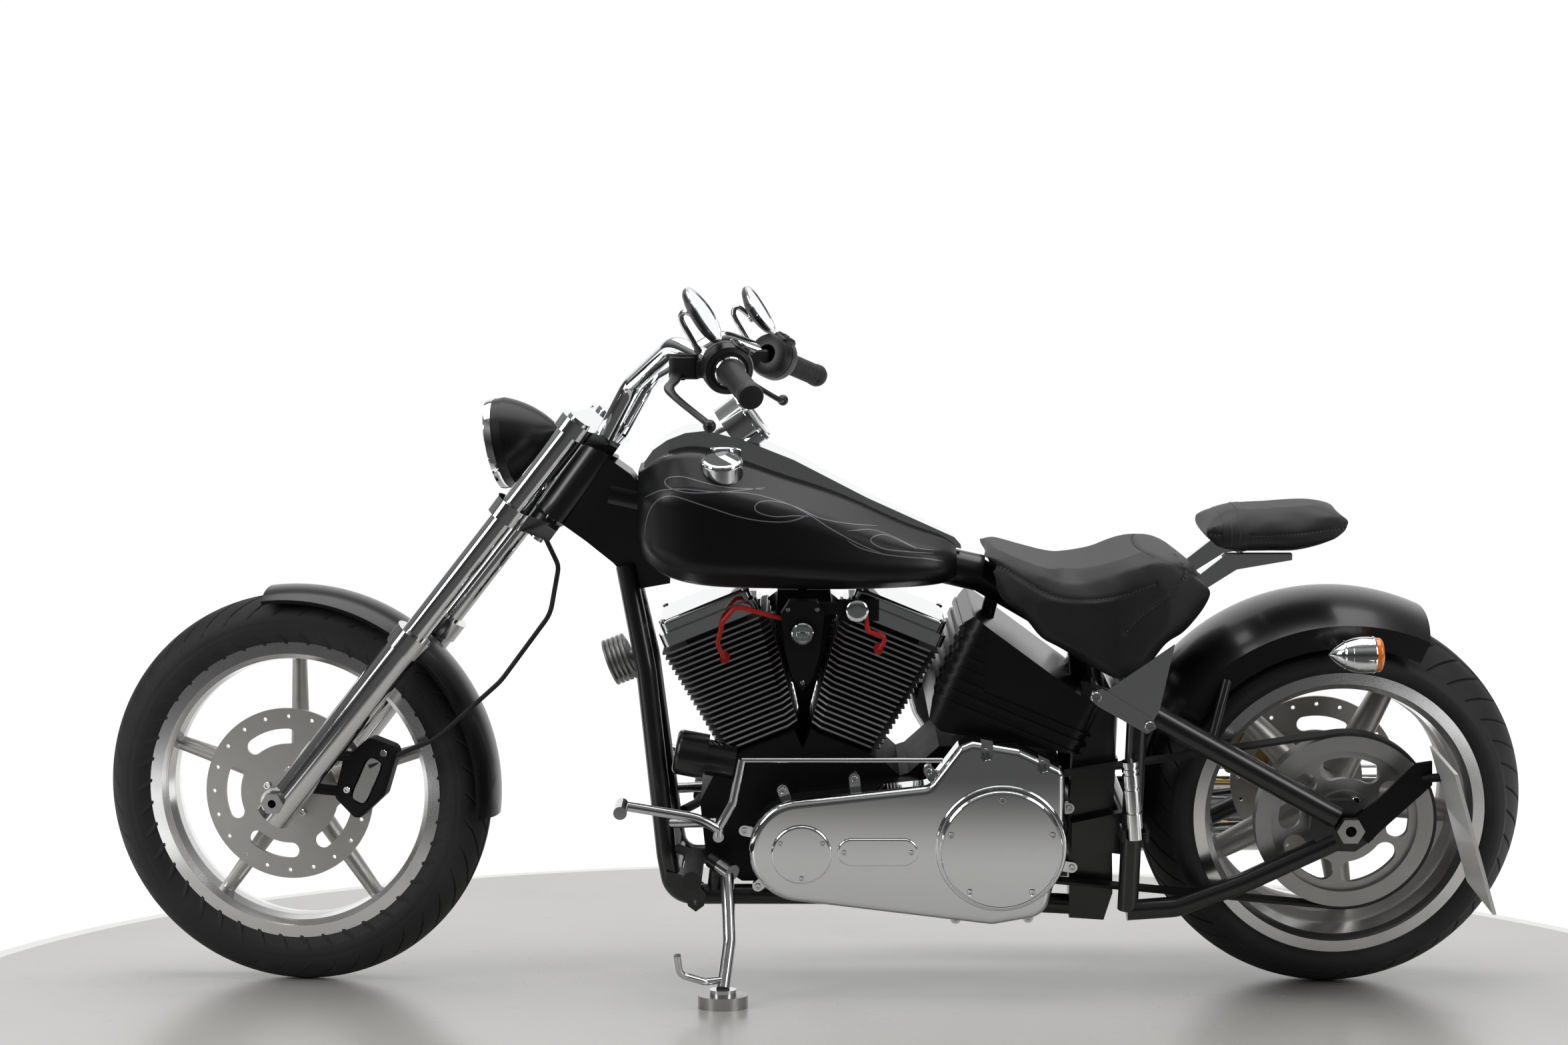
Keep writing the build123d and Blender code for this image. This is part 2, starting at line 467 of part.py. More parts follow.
DERBY_X, DERBY_Z, DERBY_R = 1187.0, 295.0, 101.0
COVER_EARS = [      # screw ears, each with a place inside the cover that it grows from
    ((766, 315), (800, 308)), ((829, 385), (842, 350)), ((947, 405), (950, 372)), ((1069, 418), (1086, 390)),
    ((1300, 354), (1270, 350)), ((1307, 252), (1270, 258)), ((1236, 165), (1226, 196)), ((1116, 163), (1120, 196)),
    ((788, 219), (812, 240))]
SUNK_SCREWS = [((1161, 452), (1163, 480)), ((1254, 432), (1262, 462))]
with BuildPart() as primary_cover:
    rounded_plate([(774, 366), (1068, 399), (1117, 466), (1138, 475), (1214, 462), (1290, 425), (1294, 300), (1262, 176),
                   (1175, 160), (774, 210)], [86, 18, 18, 18, 30, 18, 60, 40, 26, 86], -PRIMARY_IN, -PRIMARY_OUT, 13)
    for ear, root in COVER_EARS:
        middle = ((ear[0] + root[0]) / 2, (ear[1] + root[1]) / 2)
        run = (root[0] - ear[0], root[1] - ear[1])
        with BuildSketch(side_plane(-PRIMARY_IN - 3)):
            with Locations(middle):
                SlotCenterToCenter(sqrt(run[0] ** 2 + run[1] ** 2), 18, rotation=degrees(atan2(run[1], run[0])))
        extrude(amount=12)
    for low_end, high_end in SUNK_SCREWS:
        run = (high_end[0] - low_end[0], high_end[1] - low_end[1])
        with BuildSketch(side_plane(-PRIMARY_IN - 16)):
            with Locations(((low_end[0] + high_end[0]) / 2, (low_end[1] + high_end[1]) / 2)):
                SlotCenterToCenter(sqrt(run[0] ** 2 + run[1] ** 2), 20, rotation=degrees(atan2(run[1], run[0])))
        extrude(amount=60, mode=Mode.SUBTRACT)
    left_boss(DERBY_X, DERBY_Z, DERBY_R + 7, -PRIMARY_IN, -PRIMARY_OUT - 6, 5)
    left_boss(DERBY_X, DERBY_Z, DERBY_R, -PRIMARY_OUT, -PRIMARY_OUT - 16, 5)
    left_boss(860, 284, 50, -PRIMARY_OUT + 4, -PRIMARY_OUT - 6, 4)
    with BuildPart() as oblong:
        with BuildSketch(side_plane(-PRIMARY_OUT + 4)):
            with Locations((985, 288)):
                SlotOverall(133, 47)
        extrude(amount=8)
        fillet(oblong.edges().group_by(Axis.Y)[0], 3)
    add(oblong.part)

with BuildPart() as ignition_cover:
    side_plate([(826, 668), (834, 600), (845, 560), (862, 538), (879, 560), (890, 600), (898, 668), (885, 690), (840, 690)], -98, -118)
    across(862, 637, 19, -118, -126)
    side_plate([(921, 653), (988, 653), (988, 689), (921, 689)], -98, -102)
    across(952, 671, 19, -102, -108)
    side_plate([(880, 664), (930, 664), (930, 684), (880, 684)], -98, -104)
    bent_bar([(862, -99, 652), (862, -24, 668), (862, -8, 760)], 20, 8)
    add(frame.part, mode=Mode.SUBTRACT)

LEAD_R, BOOT_R = 4.0, 8.0
LEAD_Y = -100.0
BOOT_SHORT = 5.0            # a boot ends this far inside its lead's line
LEADS = [([(733, 587), (721, 613), (730, 651), (752, 678), (800, 664), (832, 656)], [8, 16, 16, 18, 20]),
         ([(988, 602), (1002, 626), (969, 634), (967, 662)], [8, 9, 10])]
with BuildPart() as spark_leads:
    for route, bends in LEADS:
        (x, z) = route[0]
        across(x, z, BOOT_R, -FIN_HALF_Y, LEAD_Y + BOOT_SHORT)
        bent_bar([(x, -FIN_HALF_Y - 4, z)] + [(px, LEAD_Y, pz) for px, pz in route], bends, LEAD_R)
        print("spark lead bends", bends)
    add(ignition_cover.part, mode=Mode.SUBTRACT)

with BuildPart() as cam_cover:
    with BuildSketch(side_plane(118)):
        with BuildLine():
            ThreePointArc((800, 300), (868, 222), (940, 270))
            Line((940, 270), (946, 396))
            Line((946, 396), (862, 420))
            Line((862, 420), (792, 396))
            Line((792, 396), (800, 300))
        make_face()
    extrude(amount=118 - 96)
    for side, shift in ((LEFT, -6), (LEFT, 26), (RIGHT, -26), (RIGHT, 6)):
        low_end = cylinder_plane(side, 120).from_local_coords((shift, 0, 0))
        high_end = cylinder_plane(side, 350).from_local_coords((shift, 0, 0))
        bar((low_end.X, 107, low_end.Z), (high_end.X, FIN_HALF_Y + 9.3, high_end.Z), 9)
    add(engine_case.part, mode=Mode.SUBTRACT)

with BuildPart() as air_cleaner:
    across(862, 580, 88, 108, 168)
    across(862, 580, 60, FIN_HALF_Y, 108)
    fillet(air_cleaner.edges().filter_by(GeomType.CIRCLE).sort_by(Axis.Y)[-1], 16)
    across(862, 580, 46, 160, 173)
    fillet(air_cleaner.edges().filter_by(GeomType.CIRCLE).sort_by(Axis.Y)[-1], 4)

with BuildPart() as oil_filter:
    bar((700, -74, 412), (648, -74, 422.4), 38)
    fillet(oil_filter.edges().filter_by(GeomType.CIRCLE).sort_by(Axis.X)[0], 10)
    bar((699, -74, 412.2), (748, -74, 402.4), 30)
    add(engine_case.part, mode=Mode.SUBTRACT)
    add(front_cylinder.part, mode=Mode.SUBTRACT)

EXHAUST_R, MUFFLER_R = 22.0, 38.0
MUFFLER_Y = 262.0
MUFFLER_CONE, MUFFLER_WALL, TIP_DEPTH = 70.0, 3.0, 90.0


def add_muffler(start, end):
    """Straight silencer: a cone that widens from the pipe, a round body and an open tip."""
    start, end = Vector(*start), Vector(*end)
    along = (end - start).normalized()
    shoulder = start + along * MUFFLER_CONE
    with BuildSketch(Plane(origin=start - along * 6, z_dir=along)) as pipe_end:
        Circle(EXHAUST_R + 2)
    with BuildSketch(Plane(origin=shoulder, z_dir=along)) as body_end:
        Circle(MUFFLER_R)
    loft([pipe_end.sketch, body_end.sketch])
    bar(shoulder, end, MUFFLER_R)
    bar(end - along * TIP_DEPTH, end + along, MUFFLER_R - MUFFLER_WALL, Mode.SUBTRACT)


with BuildPart() as front_exhaust:
    bent_bar([(680, FIN_HALF_Y, 552), (680, 150, 552), (706, 176, 420), (770, 204, 280), (900, 240, 184), (1060, MUFFLER_Y, 172)],
             [30, 60, 80, 120], EXHAUST_R)
    add_muffler((1060, MUFFLER_Y, 172), (1840, MUFFLER_Y, 178))
with BuildPart() as rear_exhaust:
    bent_bar([(1044, FIN_HALF_Y, 552), (1044, 150, 552), (1076, 178, 430), (1150, 220, 300), (1330, MUFFLER_Y, 256)], [30, 60, 80], EXHAUST_R)
    add_muffler((1330, MUFFLER_Y, 256), (1930, MUFFLER_Y, 262))

with BuildPart() as horn:
    horn_front, horn_back = Vector(536, 0, 556), Vector(572, 0, 570)
    horn_along = (horn_back - horn_front).normalized()
    bar(horn_front, horn_back, 30)
    for fin in range(5):
        bar(horn_front + horn_along * (fin * 8), horn_front + horn_along * (fin * 8 + 3.5), 40)
    bar((560, 0, 565), (597, 0, 575), 9)
    across(597, 575, 6, -52, 52)
    add(frame.part, mode=Mode.SUBTRACT)
with BuildPart() as regulator:
    side_plate([(606, 312), (622, 250), (640, 226), (652, 236), (628, 316)], -52, 52)
    across(627, 272, 7, -96, 96)
    add(frame.part, mode=Mode.SUBTRACT)

# ---------------------------------------------------------------- tank, console, seat, oil tank
TANK_SECTIONS = [   # x, then half width and height of the lower edge, the belly, the shoulder and the top
    (590, 40, 768, 72, 800, 76, 862, 40, 894),
    (612, 84, 740, 118, 774, 114, 866, 62, 908),
    (660, 110, 721, 150, 758, 140, 872, 80, 930),
    (760, 118, 711, 160, 752, 146, 862, 76, 912),
    (900, 110, 707, 148, 742, 128, 824, 58, 862),
    (1020, 92, 706, 122, 732, 104, 782, 44, 808),
    (1096, 68, 709, 88, 730, 78, 762, 36, 778),
    (1118, 50, 714, 62, 731, 56, 752, 28, 763)]
TANK_CORNERS = [24, 24, 38, 46, 26, 26, 46, 38]       # radii in the same order, right side then left


def tank_section(x, low, z_low, belly, z_belly, shoulder, z_shoulder, top, z_top):
    """Closed smooth outline across the tank at one place."""
    corners = [radius * min(1, belly / 150) for radius in TANK_CORNERS]
    with BuildSketch(Plane(origin=(x, 0, 0), x_dir=(0, 1, 0), z_dir=(1, 0, 0))) as section:
        with BuildLine():
            FilletPolyline((-low, z_low), (low, z_low), (belly, z_belly), (shoulder, z_shoulder), (top, z_top),
                           (-top, z_top), (-shoulder, z_shoulder), (-belly, z_belly), radius=corners, close=True)
        make_face()
    return section.sketch


tank_outlines = [tank_section(*row) for row in TANK_SECTIONS]
with BuildPart() as fuel_tank:
    loft(tank_outlines)
    side_plate([(560, 690), (1150, 690), (1150, 752), (560, 886)], -TUNNEL_HALF, TUNNEL_HALF, Mode.SUBTRACT)

with BuildPart() as tank_console:
    side_plate([(596, 880), (600, 908), (614, 928), (638, 946), (668, 958), (704, 962), (770, 944), (847, 912), (970, 846), (1116, 777),
                (1127, 764), (1136, 706), (1100, 706)], -46, 46)
    with BuildSketch(Plane.XY.offset(650)):
        with BuildLine():
            Polyline((590, -30), (590, 30), (640, 46), (760, 46), (900, 34), (1140, 14), (1140, -14), (900, -34), (760, -46), (640, -46), close=True)
        make_face()
    extrude(amount=400, mode=Mode.INTERSECT)
    add(fuel_tank.part, mode=Mode.SUBTRACT)
    side_plate([(560, 600), (1150, 600), (1150, 752), (560, 886)], -60, 60, Mode.SUBTRACT)

with BuildPart() as speedometer:
    bar((742, 0, 953), (778, 0, 980), 46)
    add(tank_console.part, mode=Mode.SUBTRACT)
    add(fuel_tank.part, mode=Mode.SUBTRACT)

with BuildPart() as fuel_caps:
    for side in SIDES:
        bar((730, side * 88, 890), (730, side * 98, 924), 35)
        fillet(fuel_caps.edges().filter_by(GeomType.CIRCLE).sort_by(Axis.Z)[-1], 7)
    add(fuel_tank.part, mode=Mode.SUBTRACT)

OIL_TILT = 23.0             # the ribs slope down towards the rear
OIL_TANK_HALF, OIL_TANK_REACH = 131.0, 139.0
OIL_TANK_MIDDLE = Vector(1231, 0, 536)
RIB_RISE, RIB_THICKNESS, RIB_PITCH, RIB_COUNT = 4.0, 9.0, 20.0, 7
oil_up = Vector(sin(radians(OIL_TILT)), 0, cos(radians(OIL_TILT)))
oil_along = Vector(cos(radians(OIL_TILT)), 0, -sin(radians(OIL_TILT)))
OIL_TANK_SIDE = [(1145, 659), (1117, 634), (1090, 570), (1076, 491), (1092, 476), (1335, 434), (1369, 492)]


def oil_slab(lift, thickness, grow):
    """Slab with round corners across the tilted oil tank, added to the part being built."""
    plane = Plane(origin=OIL_TANK_MIDDLE + oil_up * lift, x_dir=tuple(oil_along), z_dir=tuple(oil_up))
    with BuildSketch(plane) as plan:
        RectangleRounded(2 * (OIL_TANK_REACH + grow), 2 * (OIL_TANK_HALF + grow), 44 + grow)
    extrude(plan.sketch, amount=thickness)


with BuildPart() as oil_tank:
    for index in range(RIB_COUNT):
        oil_slab(index * RIB_PITCH - 68, RIB_THICKNESS, RIB_RISE)
    side_plate([(1160, 540), (1400, 440), (1400, 620), (1160, 720)], -OIL_TANK_HALF - RIB_RISE, OIL_TANK_HALF + RIB_RISE,
               Mode.SUBTRACT)
    oil_slab(-140, 320, 0)
    with BuildSketch(side_plane(160)) as outline:
        with BuildLine():
            Polyline(*OIL_TANK_SIDE, close=True)
        make_face()
        offset(amount=RIB_RISE)
    extrude(amount=320, mode=Mode.INTERSECT)
    bar((1172, 0, 630), (1186, 0, 690), 12)
    add(frame.part, mode=Mode.SUBTRACT)
    add(engine_case.part, mode=Mode.SUBTRACT)

with BuildPart() as pillion_pad:
    with BuildSketch(side_plane(76)):
        with BuildLine():
            Polyline((1540, 760), (1700, 760), (1750, 775), (1776, 800), (1776, 822), (1750, 834), (1560, 822), (1518, 808), (1516, 786), close=True)
        make_face()
    extrude(amount=152)

with BuildPart() as pillion_bracket:
    for side in SIDES:
        side_plate([(1372, 590), (1400, 582), (1528, 700), (1580, 734), (1671, 750), (1671, 760), (1562, 760), (1520, 726)],
                   side * 60, side * 74)
    across(1600, 744, 5, -60, 60)
    across(1400, 596, 10, -62, 62)
    add(frame.part, mode=Mode.SUBTRACT)

with BuildPart() as seat:
    with BuildSketch(side_plane(130)):
        with BuildLine():
            Spline((1148, 772), (1210, 752), (1290, 731), (1378, 748), (1450, 764), (1501, 742))
            Polyline((1501, 742), (1551, 706), (1552, 690), (1482, 611), (1432, 560), (1383, 545), (1321, 571), (1245, 613), (1159, 690), (1148, 772))
        make_face()
    extrude(amount=260)
    with BuildSketch(Plane.XY.offset(500)):
        with BuildLine():
            Polyline((1140, -80), (1140, 80), (1250, 118), (1380, 130), (1500, 122), (1556, 90), (1556, -90), (1500, -122), (1380, -130), (1250, -118),
                     close=True)
        make_face()
    extrude(amount=300, mode=Mode.INTERSECT)
    side_plate([(1130, 560), (1130, 762), (1170, 752), (1330, 664), (1420, 650), (1480, 664), (1480, 520)], -84, 84, Mode.SUBTRACT)
    add(pillion_bracket.part, mode=Mode.SUBTRACT)

with BuildPart() as seat_struts:
    for side in SIDES:
        side_plate([(1332, 562), (1326, 548), (1340, 536), (1420, 490), (1436, 500), (1428, 516), (1346, 566)],
                   side * (ARM_Y + ARM_UPPER_R), side * (ARM_Y + ARM_UPPER_R + 8))
        side_plate([(1352, 560), (1430, 510), (1440, 528), (1462, 638)], side * (ARM_Y + ARM_UPPER_R), side * (ARM_Y + ARM_UPPER_R + 3))

# ---------------------------------------------------------------- rear fender, signals, licence bracket
REAR_FENDER_R, REAR_FENDER_WALL = 362.0, 4.0
FENDER_FRONT_ANGLE, FENDER_REAR_ANGLE = 152.0, 66.0
with BuildPart() as rear_fender:
    r = REAR_FENDER_R
    w = REAR_FENDER_WALL
    start = radians(FENDER_REAR_ANGLE)
    radial = Vector(cos(start), 0, sin(start))
    section_plane = Plane(origin=tuple(REAR_AXLE), x_dir=(0, 1, 0), z_dir=tuple(Vector(0, 1, 0).cross(radial)))
    with BuildSketch(section_plane):
        with BuildLine():
            Line((-134, 290), (-134, r - 34))
            ThreePointArc((-134, r - 34), (0, r), (134, r - 34))
            Line((134, r - 34), (134, 290))
            Line((134, 290), (134 - w, 290))
            Line((134 - w, 290), (134 - w, r - 36))
            ThreePointArc((134 - w, r - 36), (0, r - w), (w - 134, r - 36))
            Line((w - 134, r - 36), (w - 134, 290))
            Line((w - 134, 290), (-134, 290))
        make_face()
    revolve(axis=Axis(tuple(REAR_AXLE), (0, -1, 0)), revolution_arc=FENDER_FRONT_ANGLE - FENDER_REAR_ANGLE)
    for side in SIDES:
        bar((1560, side * 133, 560), (1530, side * (ARM_Y - 4), 470), 8)
    add(swingarm.part, mode=Mode.SUBTRACT)

with BuildPart() as rear_signals:
    for side in SIDES:
        with BuildSketch(Plane(origin=(1712, side * 190, 618), x_dir=(1, 0, 0), z_dir=(0, -1, 0))):
            with BuildLine():
                ThreePointArc((0, 0), (24, 21), (71, 29))
                Line((71, 29), (71, 0))
                Line((71, 0), (0, 0))
            make_face()
        revolve(axis=Axis((1712, side * 190, 618), (1, 0, 0)))
        bar((1740, side * 133, 610), (1740, side * 175, 616), 7)
    add(rear_fender.part, mode=Mode.SUBTRACT)
with BuildPart() as signal_lenses:
    for side in SIDES:
        bar((1783, side * 190, 618), (1799, side * 190, 618), 28)
    fillet(signal_lenses.edges().filter_by(GeomType.CIRCLE).group_by(Axis.X)[-1], 7)

PLATE_Y_IN, PLATE_Y_OUT = -196.0, -356.0
with BuildPart() as license_bracket:
    side_plate([(1752, 332), (1790, 300), (1806, 318), (1890, 400), (1888, 440), (1862, 436), (1800, 372)], -ARM_PLATE_OUT, -ARM_PLATE_OUT - 6)
    bar((1876, -ARM_PLATE_OUT - 3, 410), (1899, -210, 418), 7)
    across(REAR_AXLE.X, REAR_AXLE.Z, REAR_AXLE_R, -300, 300, Mode.SUBTRACT)
with BuildPart() as license_plate:
    side_plate([(1882, 467), (1888, 467), (1960, 236), (1954, 236)], PLATE_Y_IN, PLATE_Y_OUT)
    add(license_bracket.part, mode=Mode.SUBTRACT)

REAR_CALIPER_IN, REAR_CALIPER_OUT = REAR_DISC_Y + DISC_THICKNESS / 2 + CALIPER_GAP, REAR_DISC_Y + 44
with BuildPart() as rear_caliper:
    rounded_plate([(1598, 330), (1616, 410), (1650, 428), (1672, 400), (1664, 326)], 12, REAR_CALIPER_IN, REAR_CALIPER_OUT, 6)
    side_plate([(1640, 346), (1640, 384), (1720, 352), (1770, 344), (1778, 324), (1762, 304), (1730, 308)], 113, 124)
    across(REAR_AXLE.X, REAR_AXLE.Z, REAR_AXLE_R, -300, 300, Mode.SUBTRACT)

with BuildPart() as foot_controls:
    across(567, 370, 11, -206, -255)
    bent_bar([(567, -212, 370), (694, -206, 346), (724, -200, 326), (724, -200, 314)], [100, 5], 8)
    bent_bar([(724, -200, 326), (748, -200, 370), (763, -196, 443)], 20, 7)
    bar((763, -196, 442), (1090, -196, 442), 4)
    across(724, 314, 9, -206, -118)
    across(600, 350, 12, 210, 266)
    bent_bar([(600, 222, 350), (660, 222, 330), (704, 222, 300)], 40, 8)
    across(704, 300, 9, 118, 230)
    for side, x, z in ((LEFT, 724, 314), (RIGHT, 704, 300)):
        bar((630, side * 98, 304), (x, side * 124, z), 9)
    add(frame.part, mode=Mode.SUBTRACT)
with BuildPart() as rider_pegs:
    for side in SIDES:
        bar((684, side * 170, 268), (684, side * 310, 274), 16)
        bent_bar([(654, side * (RAIL_Y + 4), 262), (676, side * 140, 264), (684, side * 178, 268)], 20, 8)
    add(frame.part, mode=Mode.SUBTRACT)

# ---------------------------------------------------------------- fork, clamps, bars
LOWER_CLAMP, UPPER_CLAMP = 631.0, 808.0         # along the legs, from the axle
CLAMP_THICKNESS = 30.0
SLIDER_LOW, SLIDER_HIGH = -32.0, 371.0
HEADLIGHT_FRONT, HEADLIGHT_TAIL = Vector(350, 0, 930), Vector(456, 0, 950)
HEADLIGHT_R = 75.0
LENS_SEAT = 6.0
headlight_axis = (HEADLIGHT_TAIL - HEADLIGHT_FRONT).normalized()
headlight_length = (HEADLIGHT_TAIL - HEADLIGHT_FRONT).length
with BuildPart() as triple_clamps:
    for along, thick in ((LOWER_CLAMP, CLAMP_THICKNESS), (UPPER_CLAMP, 24)):
        legs = [on_fork(along, side) for side in SIDES]
        stem_along = (Vector(legs[0].X, 0, legs[0].Z) - STEER_FOOT).dot(STEER_DIR)
        stem = on_steering(stem_along)
        leg_middle = Vector(legs[0].X, 0, legs[0].Z)
        forward = (leg_middle - stem).length
        clamp_plane = Plane(origin=stem - STEER_DIR * (thick / 2), x_dir=(0, 1, 0), z_dir=STEER_DIR)
        toward = 1 if (leg_middle - stem).dot(clamp_plane.y_dir) > 0 else -1
        with BuildSketch(clamp_plane):
            for side in SIDES:
                with Locations((side * FORK_SPACING / 2, toward * forward)):
                    Circle(FORK_TUBE_R + 10)
            with BuildLine():
                Polyline((-FORK_SPACING / 2, toward * (forward + 22)), (FORK_SPACING / 2, toward * (forward + 22)),
                         (FORK_SPACING / 2 + 10, toward * (forward - 24)), (40, -toward * 26), (-40, -toward * 26),
                         (-FORK_SPACING / 2 - 10, toward * (forward - 24)), close=True)
            make_face()
        extrude(amount=thick)
    bar(on_steering(960), on_steering(1205), STEM_R)
    bar(HEADLIGHT_TAIL, HEADLIGHT_TAIL + headlight_axis * 56, 8)
    for side in SIDES:
        bar(on_fork(SLIDER_LOW, side), on_fork(900, side), FORK_TUBE_R, Mode.SUBTRACT)

with BuildPart() as fork_tubes:
    for side in SIDES:
        bar(on_fork(SLIDER_HIGH, side), on_fork(UPPER_CLAMP + 18, side), FORK_TUBE_R)
with BuildPart() as fork_sliders:
    for side in SIDES:
        bar(on_fork(SLIDER_LOW, side), on_fork(SLIDER_HIGH, side), SLIDER_R)
        bar(on_fork(SLIDER_HIGH - 34, side), on_fork(SLIDER_HIGH, side), SLIDER_R + 3.5)
        across(FRONT_AXLE.X, FRONT_AXLE.Z, 24, side * 86, side * 139)
    across(FRONT_AXLE.X, FRONT_AXLE.Z, FRONT_AXLE_R, -300, 300, Mode.SUBTRACT)

BAR_R = 16.0
GRIP_IN, GRIP_OUT = (788, 285, 1066), (838, 405, 1034)
RISER_Y = 60.0
with BuildPart() as handlebar:
    for side in SIDES:
        bent_bar([(545, side * RISER_Y, 950), (592, side * (RISER_Y + 12), 1036), (690, side * 220, 1106),
                  (GRIP_IN[0], side * GRIP_IN[1], GRIP_IN[2]), (GRIP_OUT[0], side * GRIP_OUT[1], GRIP_OUT[2])],
                 [45, 50, 40], BAR_R)
    add(triple_clamps.part, mode=Mode.SUBTRACT)

def make_controls(side):
    """Switch housing, grip, lever and its bracket at one end of the bar."""
    inner = Vector(GRIP_IN[0], side * GRIP_IN[1], GRIP_IN[2])
    outer = Vector(GRIP_OUT[0], side * GRIP_OUT[1], GRIP_OUT[2])
    along = (outer - inner).normalized()
    with BuildPart() as controls:
        bar(inner, outer + along * 6, 19)
        bar(inner - along * 52, inner, 40)
        bar(inner + along * -30 + Vector(-30, 0, 0), inner + along * -30 + Vector(-86, 0, -6), 18)
        bent_bar([inner - along * 30 + Vector(-74, 0, -6), inner + Vector(-80, side * 60, -32), outer + Vector(-62, 0, -45)], 60, 7)
        add(handlebar.part, mode=Mode.SUBTRACT)
    return controls


left_controls = make_controls(LEFT)
right_controls = make_controls(RIGHT)

MIRROR_BOTTOM, MIRROR_TOP = (772, 299, 1110), (720, 278, 1195)
with BuildPart() as mirrors:
    for side in SIDES:
        low = Vector(MIRROR_BOTTOM[0], side * MIRROR_BOTTOM[1], MIRROR_BOTTOM[2])
        high = Vector(MIRROR_TOP[0], side * MIRROR_TOP[1], MIRROR_TOP[2])
        middle = (low + high) / 2
        up = (high - low).normalized()
        normal = up.cross(Vector(0, 1, 0)).normalized()
        with BuildSketch(Plane(origin=middle, x_dir=(0, side, 0), z_dir=normal)):
            Ellipse(72, 50)
        extrude(amount=10, both=True)
        bent_bar([(740, side * 262, 1092), (706, side * 262, 1150), (745, side * 290, 1160)], 14, 5)
    for neighbour in (handlebar, left_controls, right_controls):
        add(neighbour.part, mode=Mode.SUBTRACT)

with BuildPart() as headlight:
    with BuildSketch(Plane(origin=HEADLIGHT_FRONT, x_dir=tuple(headlight_axis), z_dir=(0, 1, 0))):
        with BuildLine():
            Line((0, 0), (0, HEADLIGHT_R))
            Line((0, HEADLIGHT_R), (24, HEADLIGHT_R))
            ThreePointArc((24, HEADLIGHT_R), (74, HEADLIGHT_R - 28), (headlight_length - 3, 14))
            Line((headlight_length - 3, 14), (headlight_length, 14))
            Line((headlight_length, 14), (headlight_length, 0))
            Line((headlight_length, 0), (0, 0))
        make_face()
    revolve(axis=Axis(tuple(HEADLIGHT_FRONT), tuple(headlight_axis)))
    bar(HEADLIGHT_FRONT - headlight_axis, HEADLIGHT_FRONT + headlight_axis * LENS_SEAT, HEADLIGHT_R - 4, Mode.SUBTRACT)
with BuildPart() as headlight_lens:
    bar(HEADLIGHT_FRONT - headlight_axis * 4, HEADLIGHT_FRONT + headlight_axis * LENS_SEAT, HEADLIGHT_R - 4)

FRONT_FENDER_R, FRONT_FENDER_WALL = 350.0, 3.0
FENDER_HALF = 64.0
with BuildPart() as front_fender:
    r, w, h = FRONT_FENDER_R, FRONT_FENDER_WALL, FENDER_HALF
    start = radians(-6)
    radial = Vector(cos(start), 0, sin(start))
    with BuildSketch(Plane(origin=tuple(FRONT_AXLE), x_dir=(0, 1, 0), z_dir=tuple(Vector(0, 1, 0).cross(radial)))):
        with BuildLine():
            Line((-h, r - 26), (-h, r - 20))
            ThreePointArc((-h, r - 20), (0, r), (h, r - 20))
            Line((h, r - 20), (h, r - 26))
            Line((h, r - 26), (h - w, r - 26))
            Line((h - w, r - 26), (h - w, r - 21))
            ThreePointArc((h - w, r - 21), (0, r - w), (w - h, r - 21))
            Line((w - h, r - 21), (w - h, r - 26))
            Line((w - h, r - 26), (-h, r - 26))
        make_face()
    revolve(axis=Axis(tuple(FRONT_AXLE), (0, -1, 0)), revolution_arc=104)
    for side in SIDES:
        bar(on_fork(300, side) + Vector(0, -side * (SLIDER_R - 1), 0), on_fork(352, side) + Vector(-20, -side * 51, 0), 7)
    add(fork_sliders.part, mode=Mode.SUBTRACT)

FRONT_CALIPER_IN, FRONT_CALIPER_OUT = FRONT_DISC_Y - DISC_THICKNESS / 2 - CALIPER_GAP, FRONT_DISC_Y - 36
with BuildPart() as front_caliper:
    rounded_plate([(88, 338), (128, 298), (176, 344), (200, 424), (150, 442), (104, 402)], 14, FRONT_CALIPER_IN,
                  FRONT_CALIPER_OUT, 6)
    with BuildSketch(side_plane(FRONT_CALIPER_OUT + 5)):
        with Locations((146, 368)):
            SlotOverall(84, 32, rotation=66)
    extrude(amount=20, mode=Mode.SUBTRACT)
    for along, hold in ((36, Vector(104, -86, 346)), (106, Vector(124, -86, 406))):
        bar(on_fork(along, LEFT), hold, 9)
    add(fork_sliders.part, mode=Mode.SUBTRACT)

HOSE_R = 4.0
HOSE_ROUTE = [(150, -96, 392), (262, -84, 440), (372, -80, 540), (452, -60, 652), (462, -40, 730), (430, -30, 790)]
HOSE_BENDS = [100, 100, 60, 30]
with BuildPart() as front_brake_hose:
    bent_bar(HOSE_ROUTE, HOSE_BENDS, HOSE_R)
    print("front brake hose bends", HOSE_BENDS)
    add(front_caliper.part, mode=Mode.SUBTRACT)
    add(triple_clamps.part, mode=Mode.SUBTRACT)

# ---------------------------------------------------------------- parked place of the two groups
steer_axis = Axis(tuple(STEER_FOOT), tuple(STEER_DIR))


def lowest(centre, axle, size):
    """Height of a round-crowned tyre's lowest point."""
    flat = sqrt(1 - axle.Z ** 2)
    return centre.Z - (size["tyre_r"] - size["crown_r"]) * flat - size["crown_r"]


def leaned(vector):
    lean = radians(LEAN)
    return Vector(vector.X, vector.Y * cos(lean) - vector.Z * sin(lean), vector.Y * sin(lean) + vector.Z * cos(lean))


def steered(vector):
    """Vector turned about the steering direction."""
    angle = radians(STEER_REST)
    k = STEER_DIR
    return vector * cos(angle) + k.cross(vector) * sin(angle) + k * (k.dot(vector) * (1 - cos(angle)))


